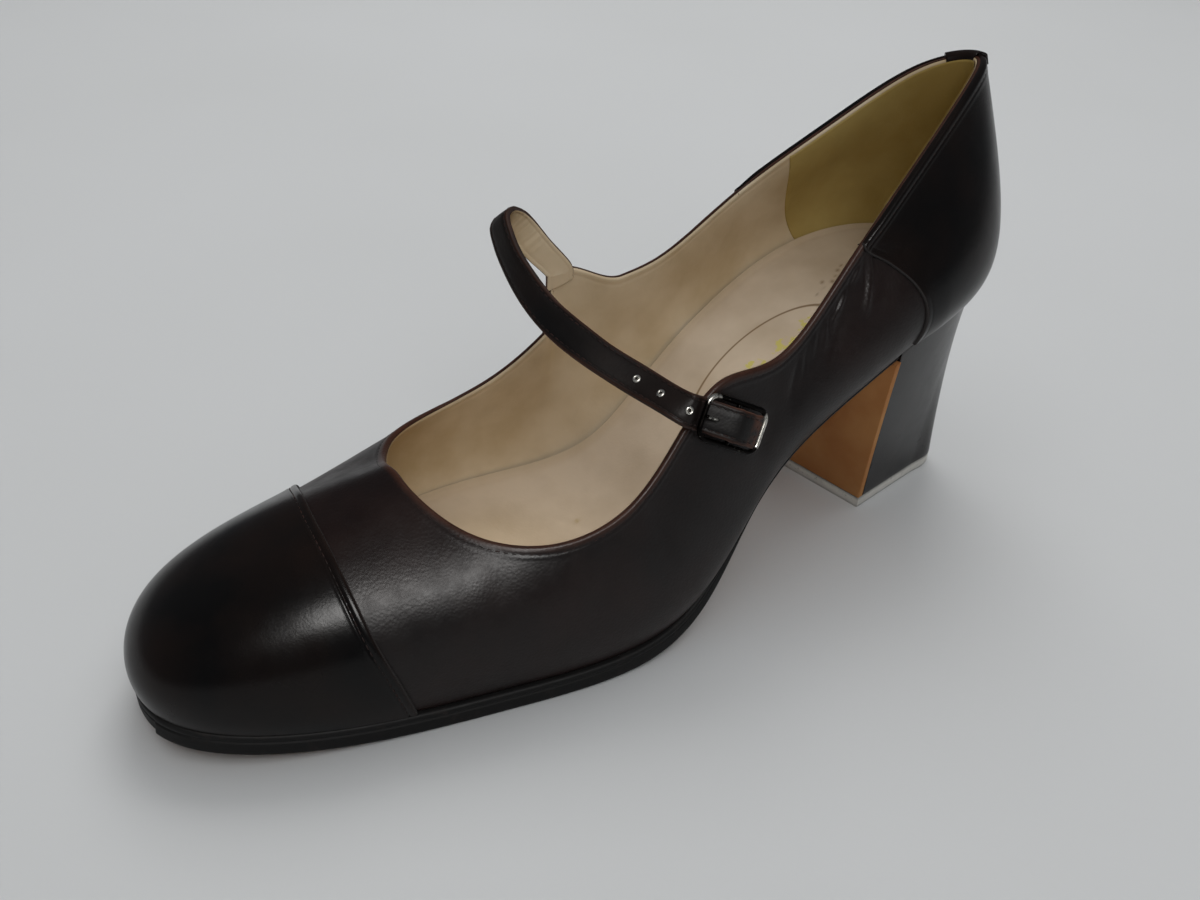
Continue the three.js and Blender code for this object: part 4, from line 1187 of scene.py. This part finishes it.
class SHOE_OT_overlays(ShoeOperator, bpy.types.Operator):
    """Toe cap, heel counter and the strip over the back of the topline"""
    bl_idname = "shoe.overlays"
    bl_label = "Toe cap and counter"

    def execute(self, context):
        sizes, colours = settings(context)
        calf = finish_of(black_calf, colours)
        points, faces, edge = overlay(*CAP_PATCH, cap_line,
                                      lambda r, v, h: wall(r, v, OVERLAY - 0.15 + h), CAP_EDGE)
        cut = finish_of(matt_edge_and_hole_shade, colours)
        piece("toe_cap_leather", points, faces, [calf, cut], picks=cut_faces(faces, edge, 0.3),
              replaces=("toe_cap",), slot="black_leather", marks={"from_edge": edge})

        def counter_surface(r, v, h):
            r, v = np.asarray(r, float), np.asarray(v, float)
            face = counter_face(counter_line(r, v)) + h + folded(from_top(r, v), sizes) * 0.8
            return wall(r, v, face, 2.1)

        points, faces, edge = overlay(*COUNTER_PATCH, counter_line, counter_surface, COUNTER_EDGE)
        piece("heel_counter_leather", points, faces, [calf, cut], picks=cut_faces(faces, edge, 0.45),
              replaces=("heel_counter",), slot="black_leather", marks={"from_edge": edge})

        # a narrow strip folded over the topline, its outer end lifting a little
        vs = np.concatenate([np.linspace(0.955, 1, 8), np.linspace(1.05, 2, 18),
                             np.linspace(2.01, 2.04, 5)])
        R, V = np.meshgrid(np.linspace(-0.62, 0.1, 26), vs)
        lift = 0.5 * ease((R + 0.1) / 0.2) * ease((1.3 - V) / 0.3)
        outer = wall(R, V, OVERLAY + 0.75 + lift, 4.1)
        inner = wall(R, V, OVERLAY + 0.1 + lift, 2.8)
        outer[..., 2] += 0.75
        inner[..., 2] += 0.3
        points, faces = shut(outer, inner)
        piece("back_tab_strip", points, faces, [calf],
              marks={"from_edge": np.full(len(points), OFF_EDGE)})
        return {"FINISHED"}


def cut_faces(faces, edge, width):
    """1 for each face that lies within a width of the cut edge, else 0."""
    return [int(max(edge[i] for i in f) <= width) for f in faces]


def shut(outer, inner):
    """A closed sheet between two grids of points of the same size."""
    rows, columns = outer.shape[:2]
    points = np.vstack([outer.reshape(-1, 3), inner.reshape(-1, 3)])
    size = rows * columns
    faces = grid_faces(rows, columns).tolist()
    faces += grid_faces(rows, columns, start=size)[:, ::-1].tolist()
    ring = (list(range(columns)) + [j * columns + columns - 1 for j in range(1, rows)]
            + [(rows - 1) * columns + i for i in range(columns - 2, -1, -1)]
            + [j * columns for j in range(rows - 2, 0, -1)])
    for a, b in zip(ring, ring[1:] + ring[:1]):
        faces.append([a, b, size + b, size + a])
    return points, faces


class SHOE_OT_sock(ShoeOperator, bpy.types.Operator):
    """Sock over the insole, stamped with an oval line and worn gold leaf"""
    bl_idname = "shoe.sock"
    bl_label = "Sock"

    def execute(self, context):
        sizes, colours = settings(context)
        a = np.linspace(0.04, TIP - 0.04, 300)
        grid = ladder(feather(RIBS - a, -1.5, 3.0), feather(a, -1.5, 3.0), 100)
        c = np.linspace(-1, 1, 100)[None, :]
        s, t = grid[..., 0], grid[..., 1]
        dip = sizes.sock_dip / MM * (bell(s - 32, 26) + 0.7 * bell(s - 165, 32)) * (1 - c ** 2)
        curl = 0.9 * ease((np.abs(c) - 0.93) / 0.07)
        pad = 0.35 * bell(np.hypot((s - 112) / 1.6, t + 4), 12)
        crease = -0.22 * bell((s - 127) + 0.5 * (t + 4), 0.9) * bell(t + 5, 7)
        grid[..., 2] += curl + pad + crease - dip
        # a row of three worn sprigs across the sock, and one almost gone
        gilding = 0.55 * bell(np.hypot(s - LAST_SPRIG[0], t - LAST_SPRIG[1]), 3.5)
        for s0, t0 in SPRIGS:
            x, y = (s - s0) * 0.86 + (t - t0) * 0.5, (t - t0) * 0.86 - (s - s0) * 0.5
            leaf = bell(y - 0.9 * np.sin(x * 1.6), 1.9) + bell(y - 3.2, 1.3) * bell(x + 1, 2.6)
            gilding = gilding + 1.1 * np.clip(leaf, 0, 1) * bell(x, 4.2)
        spots = np.zeros_like(s)
        for s0, t0, size in SOCK_SPOTS:
            spots = np.maximum(spots, 0.8 * bell(np.hypot(s - s0, t - t0), size))
        # soil under the heel and ball with painted shade toward the toe box, a small dark spot by the
        # crease, and darker edges where the sock turns up to the walls
        soil_and_painted_shade = (0.5 * bell(s - 160, 30) + 0.1 * bell(s - 25, 18)) * ease(1.2 - np.abs(c))
        soil_and_painted_shade = soil_and_painted_shade + 0.8 * bell(np.hypot(s - 125.6, t + 4.7), 0.7)
        soil_and_painted_shade = soil_and_painted_shade + 0.35 * ease((np.abs(c) - 0.86) / 0.14)
        made = piece("sock_leather_sheet", grid, grid_faces(*grid.shape[:2]),
                     [finish_of(sock_leather, colours)],
                     replaces=("insole",), slot="sock_leather",
                     marks={"gilding": gilding, "soil_and_painted_shade": np.clip(soil_and_painted_shade, 0, 1), "spots": spots})
        if made.data.polygons[0].normal.z < 0:
            made.data.flip_normals()
        return {"FINISHED"}


class SHOE_OT_sole(ShoeOperator, bpy.types.Operator):
    """Outsole with an inked edge, a line round it and a walked-on tread"""
    bl_idname = "shoe.sole"
    bl_label = "Sole"

    def execute(self, context):
        sizes, colours = settings(context)
        half = 300
        starts = [breast_place(side, -1.6, -GAP, -2) for side in (1, -1)]
        outer = starts[0] + (TIP - starts[0]) * np.linspace(0, 1, half)
        inner = RIBS - (starts[1] + (TIP - starts[1]) * np.linspace(0, 1, half))
        inner[-1] += 0.004
        outer[-1] -= 0.004

        deep = sizes.groove / MM

        def ring(r, inset, part, groove):
            full = ease((np.minimum(r, RIBS - r) - 4.3) / 2.4)
            thick = WAIST_SOLE + (SOLE - WAIST_SOLE) * full
            out = 0.9 * full - 1.6 * (1 - full) - inset - groove * full * deep
            p = feather(r, out, -GAP - thick * part)
            p[:, 2] = np.maximum(p[:, 2], 0)
            return p

        loops = [np.vstack([ring(outer, *row), ring(inner, *row)[::-1]]) for row in SOLE_EDGE]
        points = np.vstack(loops)
        n = 2 * half
        faces = grid_faces(len(loops), n, True).tolist()
        # the lowest row of faces belongs to the tread, the rest is the edge
        picks = [1] * n + [0] * (len(faces) - n)
        across = 34
        for row, tread in ((0, 1), (len(loops) - 1, 0)):
            left, right = loops[row][:half], loops[row][half:][::-1]
            middle = ladder(left, right, across)[:, 1:-1]
            start = len(points)
            points = np.vstack([points, middle.reshape(-1, 3)])
            number = np.zeros((half, across), int)
            number[:, 0] = row * n + np.arange(half)
            number[:, -1] = row * n + n - 1 - np.arange(half)
            number[:, 1:-1] = start + np.arange(half * (across - 2)).reshape(half, -1)
            patch = np.stack([number[:-1, :-1], number[1:, :-1], number[1:, 1:], number[:-1, 1:]], -1)
            patch = patch.reshape(-1, 4).tolist()
            picks += [tread] * len(patch)
            faces += patch
        points, faces, picks = trimmed(points, faces, GAP, True, picks)
        piece("leather_sole_unit", points, faces,
              [finish_of(sole_edge, colours), finish_of(sole_leather, colours)], picks=picks,
              replaces=("outsole",), slot="sole_leather")
        return {"FINISHED"}


class SHOE_OT_heel(ShoeOperator, bpy.types.Operator):
    """Covered heel block, the tan leather on its breast and the rubber top piece"""
    bl_idname = "shoe.heel"
    bl_label = "Heel"

    def execute(self, context):
        _, colours = settings(context)
        parts = np.linspace(0, 1, 40)
        points, faces, _ = trimmed(*stacked([heel_loop(p, GAP + 0.1) for p in parts]), 0, False)
        made = piece("heel_block_cover", points, faces, [finish_of(black_calf, colours)],
                     replaces=("heel",), slot="black_leather",
                     marks={"from_edge": np.full(len(points), OFF_EDGE)})
        smooth_edges(made, 0.7, 3, 50)

        under = WAIST_SOLE + 3 * GAP
        points, faces, _ = trimmed(*stacked([heel_loop(p, under) for p in parts]), GAP, True)
        points, faces, _ = trimmed(points, faces, GAP + BREAST_COVER, False)
        _, forward = breast_plane(0)
        picks = []
        for f in faces:
            p = points[list(f)]
            normal = unit(np.cross(p[1] - p[0], p[2] - p[1]))
            picks.append(0 if abs(normal @ forward) > 0.9 else 1)
        made = piece("heel_breast_leather", points, faces,
                     [finish_of(breast_leather, colours), finish_of(breast_edge_leather, colours)],
                     picks=picks, replaces=("heel_breast",), slot="tan_leather")
        smooth_edges(made, 0.3, 2, 50)

        outline = heel_loop(0, GAP)
        loops = []
        for z, inset in TOP_PIECE_EDGE:
            loop = outline + heel_inward(outline) * inset
            loop[:, 2] = z
            loops.append(loop)
        points, faces, _ = trimmed(*stacked(loops), GAP + BREAST_COVER, False)
        made = piece("rubber_top_piece", points, faces, [finish_of(heel_rubber, colours)],
                     replaces=("top_piece",), slot="top_rubber")
        smooth_edges(made, 0.35, 2, 50)
        return {"FINISHED"}


def strap_profile():
    """Section of the strap: sideways, height, and the finish, with 0 outer leather, 1 edge, 2 lining."""
    w, h = STRAP_WIDTH / 2, STRAP / 2
    top = [(-w + 0.5, h - 0.02, 0), (-w + 0.8, h + 0.06, 0), (-w + 1.05, h - 0.06, 0),
           (-w + 1.2, h - 0.08, 0), (-w + 1.35, h - 0.02, 0), (-w + 1.7, h + 0.1, 0),
           (-w + 2.6, h + 0.13, 0)]
    top += [(0.0, h + 0.14, 0)] + [(-x, y, k) for x, y, k in reversed(top)]
    right = [(w - 0.2, h - 0.12, 0), (w - 0.05, h - 0.35, 1), (w, 0.1, 1), (w - 0.1, -0.15, 1),
             (w - 0.05, -0.4, 1), (w - 0.2, -h + 0.12, 2)]
    low = [(w - 0.45, -h, 2), (w - 1.05, -h + 0.02, 2), (w - 1.25, -h + 0.1, 2),
           (w - 1.45, -h + 0.02, 2), (w - 2.4, -h - 0.04, 2)]
    low += [(0.0, -h - 0.05, 2)] + [(-x, y, k) for x, y, k in reversed(low)]
    left = [(-x, y, k) for x, y, k in reversed(right)]
    return top + right + low + left


class SHOE_OT_strap(ShoeOperator, bpy.types.Operator):
    """Strap over the instep, with its cut edges, lining, stitches and eyelets"""
    bl_idname = "shoe.strap"
    bl_label = "Strap"

    def execute(self, context):
        sizes, colours = settings(context)
        steps = 300
        f = np.linspace(0, 1, steps)
        at, along, facing, across = strap_frame(f)
        section = strap_profile()
        n = len(section)
        wave = np.sin(f * 90) * 0.05 + np.sin(f * 37 + 1) * 0.06
        crinkle = bell(f - 0.25, 0.09) * (0.5 + 0.5 * np.sin(f * 620 + 2 * np.sin(f * 130))) * 0.4
        # the strap bends a little forward where it leaves the ear
        rooted = 1 - ease((f - 0.07) / 0.16)
        rows = []
        for w, h, kind in section:
            lift = crinkle if kind == 2 and abs(w) < STRAP_WIDTH / 2 - 0.6 else 0 * f
            flare = -rooted * (1.1 if w > 0 else 0.5) * ease(abs(w) / 3)
            slant = 0.3 * w * (1 - ease(f / 0.06))
            rows.append(at + across * (w + flare + np.sign(w) * wave)[:, None]
                        + facing * (h + lift)[:, None] + along * slant[:, None])
        points = np.stack(rows, 1).reshape(-1, 3)
        faces = grid_faces(steps, n, True).tolist()
        strip = [section[(i + 1) % n][2] if section[i][2] != 1 else 1 for i in range(n)]
        picks = strip * (steps - 1)
        faces += [tuple(range(n)), tuple(range((steps - 1) * n, steps * n))]
        picks += [1, 1]
        edge = np.array([STRAP_WIDTH / 2 - abs(w) if kind == 0 else 0.0 for w, _, kind in section])
        marks = np.tile(edge, steps)
        spent = np.repeat(ease((f - 0.925) / 0.04), n)
        piece("strap_leather_band", points, faces,
              [finish_of(maker, colours) for maker in (strap_calf, raw_edge, lining_leather)],
              picks=picks, replaces=("strap",), slot="strap_leather",
              marks={"from_edge": marks, "wear": spent})

        thread = finish_of(polyester_thread, colours)
        pitch, length, radius = sizes.stitch_pitch / MM, sizes.stitch_length / MM, sizes.thread / MM
        runs = []
        for side in (-1, 1):
            place, _, up, sideways = strap_frame(np.linspace(STITCH_START, STITCH_END, 400))
            line = place + sideways * side * (STRAP_WIDTH / 2 - 1.12) + up * (STRAP / 2 - 0.02)
            runs.append(run_of_stitches(line, up, pitch, length, radius))
        place, _, up, sideways = strap_frame(np.array([CROSS_STITCH]))
        cross = np.linspace(-2.4, 2.4, 30)[:, None]
        line = place + sideways * cross + up * (STRAP / 2 + 0.1)
        runs.append(run_of_stitches(line, np.repeat(up, len(cross), 0), 1.2, 0.9, radius))
        piece("strap_stitches", *joined(runs), [thread])

        metal = finish_of(bright_nickel, colours)
        well = finish_of(matt_edge_and_hole_shade, colours)
        top = STRAP / 2 + 0.14
        profile = [(radius, top + height) for radius, height in EYELET]
        for k, back in enumerate(HOLES):
            frame_at = [part[0] for part in strap_frame(np.array([strap_at(back)]))]
            points, sides = turned(frame_at, profile)
            faces = grid_faces(len(profile), sides, True).tolist()
            picks = [0] * len(faces)
            # a dark disc across the hole: painted shade where the hole goes down
            hole_shade_disc, _ = turned(frame_at, [(0.43, top - 0.12)], sides)
            faces.append(tuple(range(len(points), len(points) + sides)))
            picks.append(1)
            piece(f"eyelet_ring_{k + 1}", np.vstack([points, hole_shade_disc]), faces, [metal, well],
                  picks=picks, replaces=(f"strap_eyelet_{k + 1}",), slot="nickel",
                  marks={"rubbed": np.full(len(points) + sides, 0.5)})
        return {"FINISHED"}


class SHOE_OT_buckle(ShoeOperator, bpy.types.Operator):
    """Wire buckle with a centre bar, its prong and the leather tab that holds it"""
    bl_idname = "shoe.buckle"
    bl_label = "Buckle"

    def execute(self, context):
        _, colours = settings(context)
        metal = finish_of(dull_nickel, colours)
        half_x, half_y, corner = BUCKLE_LENGTH / 2 - WIRE, BUCKLE_WIDTH / 2 - WIRE, WIRE_CORNER
        line = []
        for sx, sy, quarter in ((1, 1, 0), (-1, 1, 1), (-1, -1, 2), (1, -1, 3)):
            for angle in np.linspace(quarter, quarter + 1, 12) * math.pi / 2:
                line.append((sx * (half_x - corner) + corner * math.cos(angle),
                             sy * (half_y - corner) + corner * math.sin(angle)))
        even = []
        for a, b in zip(line, line[1:] + line[:1]):
            count = max(1, round(math.dist(a, b) / 0.8))
            even += [(a[0] + (b[0] - a[0]) * i / count, a[1] + (b[1] - a[1]) * i / count)
                     for i in range(count)]
        points, faces = wire([on_buckle(x, y, 0) for x, y in even], WIRE, BUCKLE[3], True)
        bar_line = [on_buckle(0, y, 0) for y in np.linspace(-half_y, half_y, 12)]
        bar = wire(bar_line, WIRE * 0.92, BUCKLE[3], False)
        # the plating is rubbed bright at the outer end and on the upper inner corner
        sides = len(points) // len(even)
        place = np.repeat(np.array(even), sides, 0)
        x, y = place[:, 0], place[:, 1] * BRIGHT_SIDE
        outer_end = ease((x - half_x + 1.6) / 1.2) * ease((y + 4.5) / 2)
        corner_spot = bell(np.hypot(x + half_x - 0.8, y - half_y + 0.8), 2.2)
        rubbed = np.concatenate([0.4 * np.maximum(outer_end, 0.9 * corner_spot), np.zeros(len(bar[0]))])
        piece("buckle_wire_frame", *joined([(points, faces), bar]), [metal],
              replaces=("buckle_frame",), slot="nickel", marks={"rubbed": rubbed})

        f = np.linspace(0, 1, 60)
        bend = curve_through([(x, z, 0) for x, z in PRONG], f)
        radii = PRONG_RADIUS * np.sqrt(np.clip((1 - f) / 0.03, 0.02, 1)) * np.clip(1.1 - 0.2 * f, 0, 1)
        points, faces = wire([on_buckle(x, 0, z) for x, z, _ in bend], radii, BUCKLE[3], False)
        piece("buckle_prong_wire", points, faces, [metal], replaces=("buckle_prong",), slot="nickel",
              marks={"rubbed": np.repeat(0.35 * bell(f - 0.75, 0.2), len(points) // len(f))})

        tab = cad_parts["buckle_tab"]
        tab.data.materials.clear()
        tab.data.materials.append(finish_of(black_calf, colours))
        return {"FINISHED"}


class SHOE_OT_stitching(ShoeOperator, bpy.types.Operator):
    """Rows of stitches along the topline, the cap seam and the counter seams"""
    bl_idname = "shoe.stitching"
    bl_label = "Stitching"

    def execute(self, context):
        sizes, colours = settings(context)
        thread = finish_of(polyester_thread, colours)
        stitch = (sizes.stitch_pitch / MM, sizes.stitch_length / MM, sizes.thread / MM)

        def sewn(name, line, r, v):
            normal, _ = last_frame(r, np.minimum(v, 1))
            piece(name, *run_of_stitches(line, normal, *stitch), [thread])

        r = np.linspace(0.01, RIBS - 0.01, 1600)
        v = 1 - sizes.stitch_in / MM / wall_height(r)
        behind = counter_line(np.where(r > TIP, r - RIBS, r), v)
        face = np.where(behind > 0, counter_face(behind), SKIN)
        sewn("topline_stitches", wall(r, v, face - 0.06), r, v)

        r, v = cap_seam_places(CAP_SEWN)
        sewn("toe_cap_stitches", wall(r, v, OVERLAY - 0.26), r, v)
        for side, name in ((1, "outer_counter_stitches"), (-1, "inner_counter_stitches")):
            v = np.linspace(0.04, 0.93, 200)
            r, v = to_level(np.full_like(v, side * 2.3), v, counter_line, COUNTER_SEWN)
            sewn(name, wall(r, v, OVERLAY - 0.82), r, v)
        return {"FINISHED"}


def cap_seam_places(level):
    """Places round the shoe along a line in front of the toe cap seam, from outside to inside."""
    places, _, chains = cut_patch(*CAP_PATCH, lambda r, v: cap_line(r, v) - level)
    chain = max(chains, key=len)
    return places[chain, 0], places[chain, 1]


class SHOE_OT_stage(ShoeOperator, bpy.types.Operator):
    """Paper floor, soft lights and the camera"""
    bl_idname = "shoe.stage"
    bl_label = "Stage"

    def execute(self, context):
        _, colours = settings(context)
        scene = context.scene
        mesh = bpy.data.meshes.new("paper_floor")
        corners = [(x * FLOOR_REACH, y * FLOOR_REACH, 0) for x,
                   y in ((-1, -1), (1, -1), (1, 1), (-1, 1))]
        mesh.from_pydata(corners, [], [(0, 1, 2, 3)])
        mesh.materials.append(finish_of(backdrop_paper, colours))
        floor = bpy.data.objects.new("paper_floor", mesh)
        scene.collection.objects.link(floor)

        for name, place, target, size, power, mirrored, lights in LIGHTS:
            lamp = bpy.data.lights.new(name, "AREA")
            lamp.shape, (lamp.size, lamp.size_y), lamp.energy = "RECTANGLE", size, power
            lamp.color = DAYLIGHT
            holder = bpy.data.objects.new(name, lamp)
            holder.location = place
            holder.rotation_euler = (Vector(target) - Vector(place)).to_track_quat("-Z", "Y").to_euler()
            # a broad lamp mirrored in the leather would turn the black grey all over
            holder.visible_glossy, holder.visible_diffuse = mirrored, lights
            scene.collection.objects.link(holder)

        world = bpy.data.worlds.new("soft_room")
        world.use_nodes = True
        background = world.node_tree.nodes["Background"]
        background.inputs["Color"].default_value = ROOM_COLOUR
        background.inputs["Strength"].default_value = ROOM_LIGHT
        scene.world = world
        scene.view_settings.view_transform = "Standard"

        lens = bpy.data.cameras.new("camera")
        lens.lens, lens.sensor_width = FOCAL_LENGTH, SENSOR_WIDTH
        camera = bpy.data.objects.new("camera", lens)
        round_z, above = math.radians(TURN), math.radians(ABOVE)
        back = Vector((math.sin(round_z) * math.cos(above), -math.cos(round_z) * math.cos(above),
                       math.sin(above)))
        camera.location = Vector(LOOKS_AT) * MM + back * AWAY * MM
        camera.rotation_mode = "QUATERNION"
        rolled = Quaternion((0, 0, 1), math.radians(ROLL))
        camera.rotation_quaternion = (-back).to_track_quat("-Z", "Y") @ rolled
        lens.clip_start, lens.clip_end = 0.01, 50
        scene.collection.objects.link(camera)
        scene.camera = camera
        return {"FINISHED"}


class SHOE_PT_panel(bpy.types.Panel):
    """Sizes, colours and buttons of the shoe"""
    bl_idname = "SHOE_PT_panel"
    bl_label = "Mary jane shoe"
    bl_space_type = "VIEW_3D"
    bl_region_type = "UI"
    bl_category = "Shoe"

    def draw(self, context):
        for group in (context.scene.shoe_sizes, context.scene.shoe_colours):
            box = self.layout.box()
            for key in group.bl_rna.properties.keys():
                if key not in ("rna_type", "name"):
                    box.prop(group, key)
        for operator in OPERATORS:
            self.layout.operator(operator.bl_idname)


OPERATORS = (SHOE_OT_upper, SHOE_OT_lining, SHOE_OT_overlays, SHOE_OT_sock, SHOE_OT_sole, SHOE_OT_heel,
             SHOE_OT_strap, SHOE_OT_buckle, SHOE_OT_stitching, SHOE_OT_stage)
CLASSES = (ShoeSizes, ShoeColours, *OPERATORS, SHOE_PT_panel)


def register():
    for cls in CLASSES:
        bpy.utils.register_class(cls)
    bpy.types.Scene.shoe_sizes = PointerProperty(type=ShoeSizes)
    bpy.types.Scene.shoe_colours = PointerProperty(type=ShoeColours)


def unregister():
    del bpy.types.Scene.shoe_colours
    del bpy.types.Scene.shoe_sizes
    for cls in reversed(CLASSES):
        bpy.utils.unregister_class(cls)


def main():
    register()
    for operator in OPERATORS:
        group, name = operator.bl_idname.split(".")
        getattr(getattr(bpy.ops, group), name)()


if __name__ == "__main__":
    main()
